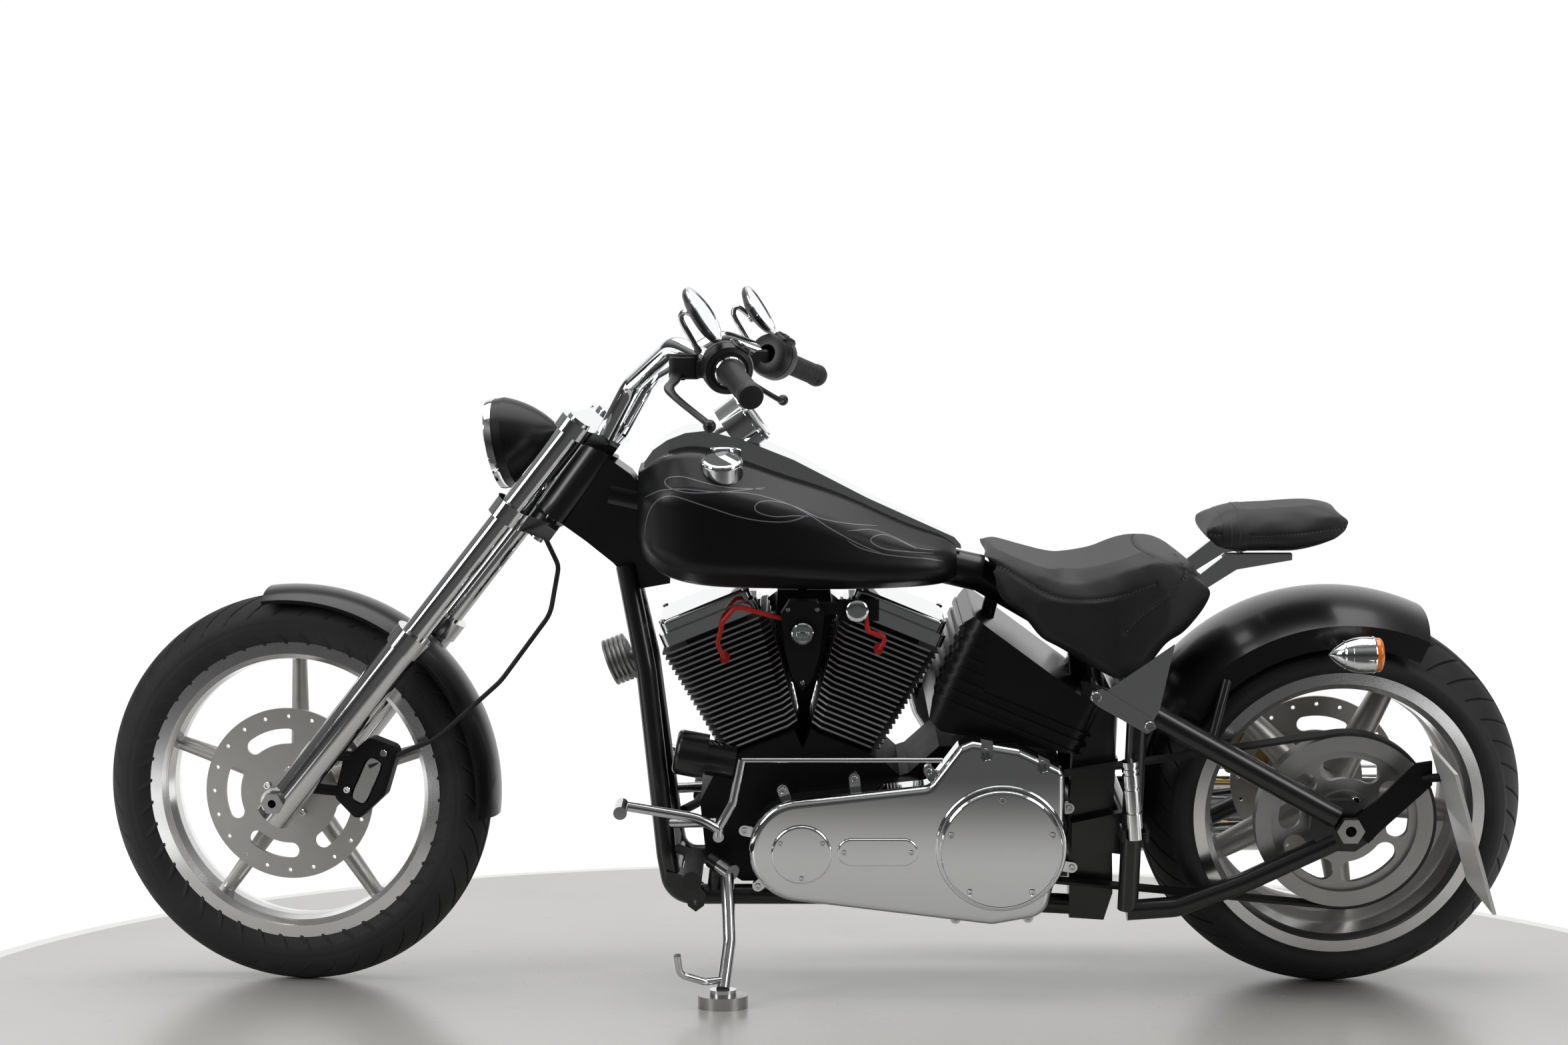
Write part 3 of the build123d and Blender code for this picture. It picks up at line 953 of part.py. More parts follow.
parked_front = leaned(STEER_FOOT + steered(FRONT_AXLE - STEER_FOOT))
parked_rear = leaned(REAR_AXLE)
front_low = lowest(parked_front, leaned(steered(Vector(0, 1, 0))), FRONT)
rear_low = lowest(parked_rear, leaned(Vector(0, 1, 0)), REAR)
pitch = atan2(rear_low - front_low, parked_rear.X - parked_front.X)
PARK = Location((0, 0, -(front_low - parked_front.X * pitch))) * Location((0, 0, 0), (0, degrees(pitch), 0)) * Location((0, 0, 0), (LEAN, 0, 0))
PARK_BACK = PARK.inverse()


def in_bike(point):
    """A parked place, seen from the upright motorcycle."""
    return (PARK_BACK * Location(tuple(point))).position


# side stand: leg, foot and the puck it stands on
foot = in_bike((PUCK_X, PUCK_Y, PUCK_HEIGHT + 9))
puck_top = in_bike((PUCK_X, PUCK_Y, PUCK_HEIGHT))
puck_base = in_bike((PUCK_X, PUCK_Y, 0))
with BuildPart() as side_stand:
    pivot = Vector(*STAND_PIVOT)
    knee = pivot + (foot - pivot) * 0.62 + Vector(8, 6, 0)
    bent_bar([pivot, knee, foot], 90, STAND_LEG_R)
    bar(puck_top, foot, 22)
    bar(pivot - STAND_AXIS * STAND_BOSS_HALF, pivot + STAND_AXIS * STAND_BOSS_HALF, STAND_BOSS_R)
    bar(pivot - STAND_AXIS * (STAND_BOSS_HALF - 1.5), pivot + STAND_AXIS * 60, STAND_PIN_R + AXLE_CLEARANCE, Mode.SUBTRACT)
    bent_bar([knee + (foot - knee) * 0.8, Vector(704, foot.Y - 14, 100), Vector(664, foot.Y - 24, 116), Vector(660, foot.Y - 28, 150)], [20, 20], 6)
with BuildPart() as stand_puck:
    bar(puck_base, puck_top, PUCK_R)

# passenger pegs, folded up


def make_passenger_peg(side):
    base = Vector(PEG_PIVOT[0], side * PEG_PIVOT[1], PEG_PIVOT[2])
    with BuildPart() as peg:
        bar(base + Vector(0, 0, -6), base + Vector(-12, 0, PEG_LENGTH), PEG_R)
        bar(base - Vector(40, 0, 0), base + Vector(40, 0, 0), PEG_PIN_R + AXLE_CLEARANCE, Mode.SUBTRACT)
        for share in PEG_GROOVES:
            ring = Plane(origin=base + Vector(-12 * share, 0, PEG_LENGTH * share), z_dir=(-12, 0, PEG_LENGTH))
            with BuildSketch(ring):
                Circle(PEG_R + 1)
                Circle(PEG_R - 2, mode=Mode.SUBTRACT)
            extrude(amount=5, mode=Mode.SUBTRACT)
    return peg


left_passenger_peg = make_passenger_peg(LEFT)
right_passenger_peg = make_passenger_peg(RIGHT)

# ---------------------------------------------------------------- export
STEERED = {
    "triple_clamps": triple_clamps, "fork_tubes": fork_tubes, "fork_sliders": fork_sliders, "handlebar": handlebar,
    "left_controls": left_controls, "right_controls": right_controls, "mirrors": mirrors, "headlight": headlight,
    "headlight_lens": headlight_lens, "front_fender": front_fender, "front_caliper": front_caliper,
    "front_brake_hose": front_brake_hose, "front_axle": front_axle, "front_tyre": front_tyre,
    "front_wheel": front_wheel, "front_disc": front_disc}
UNSTEERED = {
    "frame": frame, "swingarm": swingarm, "rear_axle": rear_axle, "engine_case": engine_case,
    "front_cylinder": front_cylinder, "rear_cylinder": rear_cylinder, "rocker_covers": rocker_covers,
    "primary_cover": primary_cover, "ignition_cover": ignition_cover, "cam_cover": cam_cover,
    "air_cleaner": air_cleaner, "oil_filter": oil_filter, "front_exhaust": front_exhaust,
    "rear_exhaust": rear_exhaust, "horn": horn, "regulator": regulator, "fuel_tank": fuel_tank,
    "tank_console": tank_console, "spark_leads": spark_leads, "speedometer": speedometer, "fuel_caps": fuel_caps, "oil_tank": oil_tank,
    "seat": seat, "pillion_pad": pillion_pad, "pillion_bracket": pillion_bracket, "seat_struts": seat_struts,
    "rear_fender": rear_fender, "rear_signals": rear_signals, "signal_lenses": signal_lenses,
    "license_bracket": license_bracket, "license_plate": license_plate, "rear_caliper": rear_caliper,
    "drive_belt": drive_belt, "foot_controls": foot_controls, "rider_pegs": rider_pegs, "side_stand": side_stand,
    "stand_puck": stand_puck, "left_passenger_peg": left_passenger_peg, "right_passenger_peg": right_passenger_peg,
    "rear_tyre": rear_tyre, "rear_wheel": rear_wheel, "rear_disc": rear_disc, "rear_pulley": rear_pulley}

os.makedirs("parts", exist_ok=True)
parked = {name: PARK * piece.part for name, piece in UNSTEERED.items()}
for name, piece in STEERED.items():
    parked[name] = PARK * piece.part.rotate(steer_axis, STEER_REST)

boxes = [piece.bounding_box() for piece in parked.values()]
low = Vector(min(b.min.X for b in boxes), min(b.min.Y for b in boxes), min(b.min.Z for b in boxes))
high = Vector(max(b.max.X for b in boxes), max(b.max.Y for b in boxes), max(b.max.Z for b in boxes))
to_origin = Location((-(low.X + high.X) / 2, -(low.Y + high.Y) / 2, -low.Z))
for name, piece in parked.items():
    placed = to_origin * piece
    placed.label = name
    export_step(placed, f"parts/{name}.step")

# places and directions of the joints and mounts, in the exported frame
PLACES = {
    "size": high - low,
    "origin_shift": to_origin.position,
    "front_axle": (to_origin * PARK * Location(tuple(STEER_FOOT + steered(FRONT_AXLE - STEER_FOOT)))).position,
    "rear_axle": (to_origin * PARK * Location(tuple(REAR_AXLE))).position,
    "steer_foot": (to_origin * PARK * Location(tuple(STEER_FOOT))).position,
    "steer_top": (to_origin * PARK * Location(tuple(on_steering(1000)))).position,
    "front_axle_end": (to_origin * PARK * Location(tuple(STEER_FOOT + steered(FRONT_AXLE + Vector(0, 1000, 0) - STEER_FOOT)))).position,
    "rear_axle_end": (to_origin * PARK * Location(tuple(REAR_AXLE + Vector(0, 1000, 0)))).position,
    "stand_pivot": (to_origin * PARK * Location(STAND_PIVOT)).position,
    "stand_pivot_end": (to_origin * PARK * Location(tuple(Vector(*STAND_PIVOT) - STAND_AXIS * 1000))).position,
    "left_peg": (to_origin * PARK * Location((PEG_PIVOT[0], -PEG_PIVOT[1], PEG_PIVOT[2]))).position,
    "right_peg": (to_origin * PARK * Location((PEG_PIVOT[0], PEG_PIVOT[1], PEG_PIVOT[2]))).position,
    "bracket_hole": (to_origin * PARK * Location((BRACKET_HOLE[0], -BRACKET_OUT, BRACKET_HOLE[1]))).position,
    "puck": to_origin.position + Vector(PUCK_X, PUCK_Y, 0)}
for name, place in PLACES.items():
    print("place", name, round(place.X, 6), round(place.Y, 6), round(place.Z, 6))
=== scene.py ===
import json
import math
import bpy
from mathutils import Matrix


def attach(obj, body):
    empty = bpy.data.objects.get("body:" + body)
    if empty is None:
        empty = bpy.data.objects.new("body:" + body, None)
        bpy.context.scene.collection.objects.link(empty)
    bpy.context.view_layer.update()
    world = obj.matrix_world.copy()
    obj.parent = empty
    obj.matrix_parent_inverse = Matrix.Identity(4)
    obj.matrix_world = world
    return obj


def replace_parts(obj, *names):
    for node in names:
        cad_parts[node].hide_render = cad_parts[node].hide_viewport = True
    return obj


bl_info = {
    "name": "Chopper motorcycle look",
    "version": (1, 0, 0),
    "blender": (4, 5, 0),
    "location": "3D View > Sidebar > Chopper",
    "description": "Finishes, soft goods, trim, camera and studio for a chopper motorcycle",
    "category": "Object",
}

import bmesh
import bpy
from mathutils import Matrix, Vector
from mathutils.bvhtree import BVHTree
from mathutils.kdtree import KDTree

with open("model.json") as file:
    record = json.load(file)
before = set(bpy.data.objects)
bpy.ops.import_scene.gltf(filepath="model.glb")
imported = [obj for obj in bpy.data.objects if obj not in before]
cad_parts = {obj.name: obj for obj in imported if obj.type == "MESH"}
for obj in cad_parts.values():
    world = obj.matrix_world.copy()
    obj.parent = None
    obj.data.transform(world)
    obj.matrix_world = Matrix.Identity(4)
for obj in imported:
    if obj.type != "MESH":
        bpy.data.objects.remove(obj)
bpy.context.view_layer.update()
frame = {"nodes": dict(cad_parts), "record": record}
MM = 0.001


# ------------------------------------------------------------------ places on the upright motorcycle
# Drawn as the model is: x rearward from the front axle, y to the rider's right, z up, in millimetres.
WHEELBASE = 1758.0
FRONT_RADIUS, REAR_RADIUS = 335.0, 324.6
STEER_REST = -9.37
CYLINDER_TILT = 22.5                    # degrees from upright, one cylinder forward and one rearward
CRANK = (862.0, 0.0, 270.0)             # where the two cylinders' middle lines meet
HEADLIGHT_FRONT, HEADLIGHT_TAIL = (350, 0, 930), (456, 0, 950)
LEFT, RIGHT = -1, 1
FORWARD, REARWARD = -1, 1
JOINTS = {joint["name"]: joint for joint in frame["record"]["behaviour"]["joints"]}


def upright_matrix():
    """Turns a place on the upright motorcycle, in metres, into its parked place."""
    joint = JOINTS["rear_wheel_spin"]
    across = Vector(joint["axis"]).normalized()
    pitch = math.atan2(across.x, across.z)
    rearward = Vector((math.cos(pitch), 0, -math.sin(pitch)))
    up = rearward.cross(across)
    turn = Matrix((rearward, across, up)).transposed()
    hub = Vector((WHEELBASE, 0, REAR_RADIUS)) * MM
    shift = Vector(joint["pos_m"]) - turn @ hub
    return Matrix.Translation(shift) @ turn.to_4x4()


def steering_matrix():
    """The parked turn of the steering, in the parked frame."""
    joint = JOINTS["steering"]
    foot = Vector(joint["pos_m"])
    turn = Matrix.Rotation(math.radians(STEER_REST), 4, Vector(joint["axis"]))
    return Matrix.Translation(foot) @ turn @ Matrix.Translation(-foot)


UPRIGHT = upright_matrix()
STEERED = steering_matrix() @ UPRIGHT


def parked(point, steered=False):
    """A place in millimetres on the upright motorcycle, as its parked place in metres."""
    return (STEERED if steered else UPRIGHT) @ (Vector(point) * MM)


def direction(vector, steered=False):
    """A direction on the upright motorcycle, as its parked direction."""
    return ((STEERED if steered else UPRIGHT).to_3x3() @ Vector(vector)).normalized()


def frame_at(origin, upward, forward=(1, 0, 0)):
    """A frame in motorcycle millimetres: its z points upward, its x lies near forward."""
    z_way = Vector(upward).normalized()
    y_way = z_way.cross(Vector(forward)).normalized()
    x_way = y_way.cross(z_way)
    matrix = Matrix((x_way, y_way, z_way)).transposed().to_4x4()
    matrix.translation = Vector(origin)
    return matrix


def cylinder_frame(end):
    """A cylinder's frame in motorcycle millimetres: its z along the bore, from the crank."""
    tilt = math.radians(CYLINDER_TILT) * end
    return frame_at(CRANK, (math.sin(tilt), 0, math.cos(tilt)), (math.cos(tilt), 0, -math.sin(tilt)))


def headlight_frame():
    """The headlight's frame in motorcycle millimetres: its z forward through the glass, its x up."""
    front, tail = Vector(HEADLIGHT_FRONT), Vector(HEADLIGHT_TAIL)
    return frame_at(front, front - tail, (0, 1, 0))


def in_metres(matrix):
    """A frame with its origin in metres."""
    scaled = matrix.copy()
    scaled.translation *= MM
    return scaled


# ------------------------------------------------------------------ surfaces
class Value:
    """A socket that gives a number, with Python's own operators for its Math nodes."""

    def __init__(self, surface, socket):
        self.surface = surface
        self.socket = socket

    def _math(self, operation, *inputs):
        return self.surface.add("ShaderNodeMath", {"operation": operation}, dict(enumerate(inputs)))

    def __add__(self, other):
        return self._math("ADD", self, other)

    def __radd__(self, other):
        return self._math("ADD", other, self)

    def __sub__(self, other):
        return self._math("SUBTRACT", self, other)

    def __rsub__(self, other):
        return self._math("SUBTRACT", other, self)

    def __mul__(self, other):
        return self._math("MULTIPLY", self, other)

    def __rmul__(self, other):
        return self._math("MULTIPLY", other, self)

    def __abs__(self):
        return self._math("ABSOLUTE", self)

    def above(self, other):
        return self._math("GREATER_THAN", self, other)

    def below(self, other):
        return self._math("LESS_THAN", self, other)

    def most(self, other):
        return self._math("MAXIMUM", self, other)

    def sine(self):
        return self._math("SINE", self)

    def root(self):
        return self._math("SQRT", self)

    def between(self, low, high):
        """Goes smoothly from 0 at low to 1 at high, and no further."""
        return self.surface.add("ShaderNodeMapRange", {"interpolation_type": "SMOOTHSTEP"},
                                {"Value": self, "From Min": low, "From Max": high})


MIX_FIRST, MIX_SECOND, MIX_RESULT = 6, 7, 2     # a Mix node's sockets for two colours and their blend


class Nodes:
    """A shader tree under construction: one method adds any node."""

    def __init__(self, tree):
        self.tree = tree

    def add(self, kind, settings=None, inputs=None, output=0):
        """Adds a node: its settings first, then the values or links of its sockets, by name or number."""
        node = self.tree.nodes.new(kind)
        for key, value in (settings or {}).items():
            if key == "stops":
                ramp = node.color_ramp
                while len(ramp.elements) < len(value):
                    ramp.elements.new(0.5)
                for element, (position, colour) in zip(ramp.elements, value):
                    element.position = position
                    element.color = colour
            else:
                setattr(node, key, value)
        for key, value in (inputs or {}).items():
            socket = node.inputs[key]
            if isinstance(value, Value):
                self.tree.links.new(value.socket, socket)
            else:
                socket.default_value = value
        return Value(self, node.outputs[output] if node.outputs else None)

    def blend(self, factor, first, second):
        """Mixes two colours."""
        return self.add("ShaderNodeMix", {"data_type": "RGBA"},
                        {"Factor": factor, MIX_FIRST: first, MIX_SECOND: second}, output=MIX_RESULT)

    def split(self, vector):
        """The three numbers of a vector."""
        return [self.add("ShaderNodeSeparateXYZ", None, {0: vector}, output=index) for index in range(3)]


class Surface(Nodes):
    """A material under construction, whose methods name common groups of nodes."""

    def __init__(self, name):
        self.material = bpy.data.materials.new(name)
        self.material.use_nodes = True
        super().__init__(self.material.node_tree)
        self.tree.nodes.clear()
        self._place = None

    def place(self):
        """Object coordinates, which are parked places in metres."""
        if self._place is None:
            self._place = self.add("ShaderNodeTexCoord", output="Object")
        return self._place

    def local(self, matrix):
        """Coordinates in a frame of its own, in metres, as three numbers."""
        back = matrix.inverted()
        return self.split(self.add("ShaderNodeMapping", None, {
            "Vector": self.place(), "Rotation": back.to_euler(), "Location": back.to_translation()}))

    # Soft noise, crystal edges and bumps, the three things that most finishes are made of.
    def cloud(self, scale, detail=2.0, roughness=0.5, where=None):
        return self.add("ShaderNodeTexNoise", None, {
            "Vector": where or self.place(), "Scale": scale, "Detail": detail, "Roughness": roughness})

    def cell_edges(self, scale):
        return self.add("ShaderNodeTexVoronoi", {"feature": "DISTANCE_TO_EDGE"},
                        {"Vector": self.place(), "Scale": scale})

    def relief(self, height, distance, strength=1.0):
        return self.add("ShaderNodeBump", None, {"Height": height, "Distance": distance, "Strength": strength})

    def finish(self, **sockets):
        """The shader itself. Sockets are named with underscores for spaces."""
        names = {key.replace("_", " "): value for key, value in sockets.items()}
        shader = self.add("ShaderNodeBsdfPrincipled", None, names)
        self.add("ShaderNodeOutputMaterial", None, {"Surface": shader})
        return self.material


def rgb(red, green, blue):
    """A colour as a socket takes it."""
    return (red, green, blue, 1.0)


def shaded(colour, share, lift=0.0):
    """A colour made darker or lighter by a share."""
    return rgb(*[channel * share + lift for channel in colour])


def length_of(first, second):
    """The length of a vector of two numbers."""
    return (first * first + second * second).root()


def make_paint(name, colour, roughness, coat, coat_roughness=0.06, specular=0.5):
    """Sprayed paint: a fine orange-peel ripple and a trace of dust."""
    surface = Surface(name)
    dust = surface.cloud(900.0, 3.0).between(0.62, 0.8)
    mist = surface.cloud(3.0, 4.0)
    tone = surface.blend(dust * 0.05, rgb(*colour), rgb(0.25, 0.25, 0.25))
    ripple = surface.relief(surface.cloud(160.0, 1.0), 0.0004, 0.04)
    return surface.finish(Base_Color=tone, Roughness=mist * 0.08 + roughness, Coat_Weight=coat,
                          Coat_Roughness=coat_roughness, Coat_IOR=1.5, Specular_IOR_Level=specular, Normal=ripple)


def make_chrome(name, roughness=0.035, tint=(0.88, 0.89, 0.90), smudge=0.05):
    """Plated steel: nearly a mirror, with faint wiping marks."""
    surface = Surface(name)
    wipe = surface.cloud(14.0, 5.0, 0.6).between(0.45, 0.8)
    grain = surface.relief(surface.cloud(60.0, 1.0), 0.0004, 0.02)
    return surface.finish(Base_Color=rgb(*tint), Metallic=1.0, Roughness=wipe * smudge + roughness, Normal=grain)


def make_cast(name, tint, roughness, grain_scale=900.0, grain_depth=0.00005):
    """Cast or blasted metal with a fine grain."""
    surface = Surface(name)
    grain = surface.cloud(grain_scale, 2.0)
    patches = surface.cloud(22.0, 4.0)
    tone = surface.blend(patches * 0.35, rgb(*tint), shaded(tint, 0.72))
    return surface.finish(Base_Color=tone, Metallic=1.0, Roughness=patches * 0.12 + roughness,
                          Normal=surface.relief(grain, grain_depth))


def make_rubber(name, colour, roughness, depth=0.00008):
    """Rubber or plastic with a fine grain, paler where it is worn."""
    surface = Surface(name)
    grain = surface.cloud(700.0, 3.0)
    wear = surface.cloud(9.0, 5.0)
    tone = surface.blend(wear.between(0.4, 0.75) * 0.5, rgb(*colour), shaded(colour, 2.2, 0.006))
    return surface.finish(Base_Color=tone, Roughness=wear * 0.12 + roughness, Normal=surface.relief(grain, depth))


def wheel_place(joint_name):
    """The hub of a wheel: its own z along the axle, in the parked frame."""
    joint = JOINTS[joint_name]
    axle = Vector(joint["axis"]).normalized()
    return Matrix.Translation(Vector(joint["pos_m"])) @ axle.to_track_quat("Z", "Y").to_matrix().to_4x4()


FRONT_LIP, REAR_LIP, LIP_BLEND = 0.2235, 0.2085, 0.003      # where a rim's polished lip begins, in metres
TURNING_MARKS = 2600.0, 3100.0          # radians for each metre of radius and of width
DISC_MARKS = 900.0
FLUTE_RATE = 900.0, 300.0               # radians for each metre across and up the headlight
BLACK_PAINT = (0.0050, 0.0052, 0.0058)


def make_wheel_metal(name, joint_name, lip_radius):
    """Cast spokes and hub in satin silver, and a turned and polished lip."""
    surface = Surface(name)
    across, along, deep = surface.local(wheel_place(joint_name))
    radius = length_of(across, along)
    lip = radius.between(lip_radius - LIP_BLEND, lip_radius)
    turned = (radius * TURNING_MARKS[0]).sine() * 0.5 + (deep * TURNING_MARKS[1]).sine() * 0.5
    sand = surface.cloud(900.0, 3.0)
    stain = surface.cloud(16.0, 4.0)
    tone = surface.blend(lip, rgb(0.54, 0.53, 0.51), rgb(0.86, 0.86, 0.86))
    tone = surface.blend(stain.between(0.45, 0.8) * 0.25, tone, rgb(0.42, 0.41, 0.39))
    rough = lip * -0.30 + 0.42 + stain * 0.08
    height = turned * lip * 0.25 + sand * (1 - lip)
    return surface.finish(Base_Color=tone, Metallic=1.0, Roughness=rough, Normal=surface.relief(height, 0.00006, 0.8))


def make_disc_steel(name, joint_name):
    """Brake disc steel, ground in rings, with darker swept wear."""
    surface = Surface(name)
    across, along, _ = surface.local(wheel_place(joint_name))
    radius = length_of(across, along)
    rings = surface.cloud(1.0, 4.0, where=surface.add("ShaderNodeCombineXYZ", None, {0: radius * DISC_MARKS}))
    patches = surface.cloud(40.0, 4.0)
    tone = surface.blend(rings * 0.6 + patches * 0.3, rgb(0.62, 0.61, 0.59), rgb(0.40, 0.385, 0.36))
    return surface.finish(Base_Color=tone, Metallic=0.9, Roughness=rings * 0.15 + 0.30,
                          Normal=surface.relief(rings, 0.00004))


FIN_FOOT, FIN_HEAD = 0.190, 0.386               # metres from the crank, along a cylinder
FIN_GROWTH = 26.0 / 190.0                       # how fast the fins widen on the way up
FIN_REACH = {FORWARD: 0.069, REARWARD: 0.062}   # half a fin's length at the foot
FIN_HALF_WIDTH, FIN_CHAMFER = 0.078, 0.0175
BRIGHT_EDGE, BRIGHT_SIDE = 0.0016, 0.0012       # how wide the cut edges are, fore and aft and at the sides


def make_fin_metal(name, end):
    """Black cooling fins whose cut edges are left bright."""
    surface = Surface(name)
    fore, sideways, up = surface.local(UPRIGHT @ in_metres(cylinder_frame(end)))
    reach = (up - FIN_FOOT) * FIN_GROWTH + FIN_REACH[end]
    fore_edge = abs(fore).above(reach - BRIGHT_EDGE)
    side_edge = abs(sideways).above(FIN_HALF_WIDTH - BRIGHT_SIDE)
    corner = (abs(fore) + abs(sideways)).above(reach + (FIN_HALF_WIDTH - FIN_CHAMFER))
    bright = fore_edge.most(side_edge).most(corner) * up.below(FIN_HEAD)
    grain = surface.cloud(500.0, 3.0)
    tone = surface.blend(bright, rgb(0.016, 0.016, 0.017), rgb(0.60, 0.60, 0.60))
    return surface.finish(Base_Color=tone, Metallic=bright * 0.85 + 0.1,
                          Roughness=bright * -0.22 + 0.48 + grain * 0.1, Normal=surface.relief(grain, 0.0001))


def make_glass(name, tint, roughness=0.03):
    """Clear glass with faint smears."""
    surface = Surface(name)
    smear = surface.cloud(30.0, 4.0)
    return surface.finish(Base_Color=rgb(*tint), Roughness=smear * 0.05 + roughness, Transmission_Weight=0.9,
                          IOR=1.45, Alpha=1.0)


def make_leather(name):
    """Seat leather: fine pebbles, faint creases and a soft sheen."""
    surface = Surface(name)
    pebbles = surface.cell_edges(720.0).between(0.0, 0.22)
    creases = surface.cloud(34.0, 6.0, 0.65).between(0.48, 0.62)
    wear = surface.cloud(6.0, 4.0)
    tone = surface.blend(wear.between(0.4, 0.8) * 0.6, rgb(0.014, 0.014, 0.015), rgb(0.030, 0.030, 0.032))
    height = pebbles * 0.7 + creases * 0.3
    return surface.finish(Base_Color=tone, Roughness=0.50 - pebbles * 0.08 + wear * 0.06,
                          Normal=surface.relief(height, 0.00014, 0.7))


def make_flutes(name):
    """Moulded lamp glass over a bright bowl: upright flutes and a clear middle."""
    surface = Surface(name)
    across, upward, _ = surface.local(STEERED @ in_metres(headlight_frame()))
    radius = length_of(across, upward)
    flutes = (across * FLUTE_RATE[0]).sine() * 0.5 + (upward * FLUTE_RATE[1]).sine() * 0.25
    tone = surface.blend(radius.between(0.0, 0.07), rgb(0.86, 0.88, 0.90), rgb(0.50, 0.52, 0.55))
    return surface.finish(Base_Color=tone, Metallic=0.75, Roughness=radius * 0.6 + 0.05, Coat_Weight=1.0,
                          Coat_Roughness=0.02, Normal=surface.relief(flutes, 0.0006, 0.6))


def make_library():
    """Every finish that the pieces share, by name."""
    return {
        "tank_black": make_paint("Satin black tank paint", BLACK_PAINT, 0.33, 0.10, 0.20, 0.30),
        "fender_black": make_paint("Black fender paint", BLACK_PAINT, 0.26, 0.25, 0.14, 0.35),
        "frame_black": make_paint("Black frame enamel", (0.0060, 0.0060, 0.0065), 0.30, 0.5, 0.15),
        "chrome": make_chrome("Chrome plating"),
        "soft_chrome": make_chrome("Satin chrome plating", 0.16, (0.70, 0.70, 0.71), 0.1),
        "slider": make_chrome("Polished fork leg", 0.09, (0.80, 0.80, 0.80), 0.08),
        "cast_black": make_cast("Black crinkle engine paint", (0.030, 0.030, 0.032), 0.50, 420.0, 0.00012),
        "cast_silver": make_cast("Blasted silver casting", (0.52, 0.52, 0.51), 0.38),
        "bare_steel": make_cast("Machined steel", (0.56, 0.55, 0.54), 0.28, 1400.0, 0.00003),
        "brass": make_cast("Gilded caliper casting", (0.62, 0.42, 0.16), 0.36),
        "rubber": make_rubber("Black moulded rubber", (0.012, 0.012, 0.012), 0.62),
        "grip": make_rubber("Worn grip rubber", (0.016, 0.016, 0.017), 0.5),
        "tyre": make_rubber("Tyre rubber", (0.0125, 0.0125, 0.013), 0.58, 0.00012),
        "belt": make_rubber("Belt rubber", (0.011, 0.011, 0.011), 0.55, 0.0001),
        "plastic": make_rubber("Black housing plastic", (0.010, 0.010, 0.011), 0.34, 0.00003),
        "front_wheel_metal": make_wheel_metal("Front wheel alloy", "front_wheel_spin", FRONT_LIP),
        "rear_wheel_metal": make_wheel_metal("Rear wheel alloy", "rear_wheel_spin", REAR_LIP),
        "front_disc_steel": make_disc_steel("Front disc steel", "front_wheel_spin"),
        "rear_disc_steel": make_disc_steel("Rear disc steel", "rear_wheel_spin"),
        "front_fins": make_fin_metal("Front cylinder fins", FORWARD),
        "rear_fins": make_fin_metal("Rear cylinder fins", REARWARD),
        "amber": make_paint("Amber lens plastic", (0.95, 0.22, 0.006), 0.12, 1.0, 0.03),
        "lamp_glass": make_glass("Lamp glass", (0.92, 0.94, 0.95)),
        "plate": make_paint("Blank plate enamel", (0.62, 0.62, 0.60), 0.35, 0.2),
        "red_lead": make_rubber("Red silicone lead", (0.42, 0.012, 0.012), 0.32, 0.00002),
        "leather": make_leather("Black seat leather"),
        "thread": make_rubber("Grey waxed thread", (0.10, 0.10, 0.105), 0.6, 0.00002),
        "screw": make_chrome("Plated screws", 0.12, (0.78, 0.78, 0.79), 0.1),
        "mirror_glass": make_chrome("Mirror glass", 0.012, (0.90, 0.92, 0.94), 0.02),
        "lever_black": make_paint("Black lever coat", (0.012, 0.012, 0.013), 0.38, 0.2, 0.3),
        "stripe": make_paint("Grey line enamel", (0.16, 0.165, 0.175), 0.35, 0.3),
        "dial_face": make_paint("Dial black", (0.006, 0.006, 0.007), 0.6, 0.0),
        "dial_white": make_paint("Dial white", (0.75, 0.76, 0.74), 0.5, 0.0),
        "flutes": make_flutes("Fluted lamp glass"),
    }


FINISH_NODES = {      # each finish and the modelled nodes that wear it
    "frame_black": "frame swingarm oil_filter",
    "bare_steel": "rear_axle stand_puck front_axle",
    "cast_black": "engine_case ignition_cover regulator license_bracket front_caliper",
    "front_fins": "front_cylinder",
    "rear_fins": "rear_cylinder",
    "chrome": "rocker_covers primary_cover cam_cover air_cleaner front_exhaust rear_exhaust tank_console "
              "speedometer fuel_caps pillion_bracket seat_struts rear_signals left_passenger_peg "
              "right_passenger_peg triple_clamps fork_tubes handlebar",
    "cast_silver": "horn rear_pulley",
    "tank_black": "fuel_tank headlight",
    "fender_black": "oil_tank rear_fender front_fender",
    "rubber": "seat pillion_pad rider_pegs front_brake_hose",
    "amber": "signal_lenses",
    "plate": "license_plate",
    "brass": "rear_caliper",
    "belt": "drive_belt",
    "soft_chrome": "foot_controls side_stand",
    "tyre": "rear_tyre front_tyre",
    "rear_wheel_metal": "rear_wheel",
    "rear_disc_steel": "rear_disc",
    "slider": "fork_sliders",
    "plastic": "left_controls right_controls mirrors",
    "lamp_glass": "headlight_lens",
    "front_wheel_metal": "front_wheel",
    "front_disc_steel": "front_disc",
    "red_lead": "spark_leads",
}
NODE_FINISH = {node: finish for finish, nodes in FINISH_NODES.items() for node in nodes.split()}


# ------------------------------------------------------------------ meshes
def link(name, data):
    """A new object in the scene."""
    item = bpy.data.objects.new(name, data)
    bpy.context.scene.collection.objects.link(item)
    return item


def finished_mesh(item, name):
    """The mesh that an object's modifiers make of it. The object itself goes."""
    mesh = bpy.data.meshes.new_from_object(item.evaluated_get(bpy.context.evaluated_depsgraph_get()))
    bpy.data.objects.remove(item)
    mesh.name = name
    return mesh


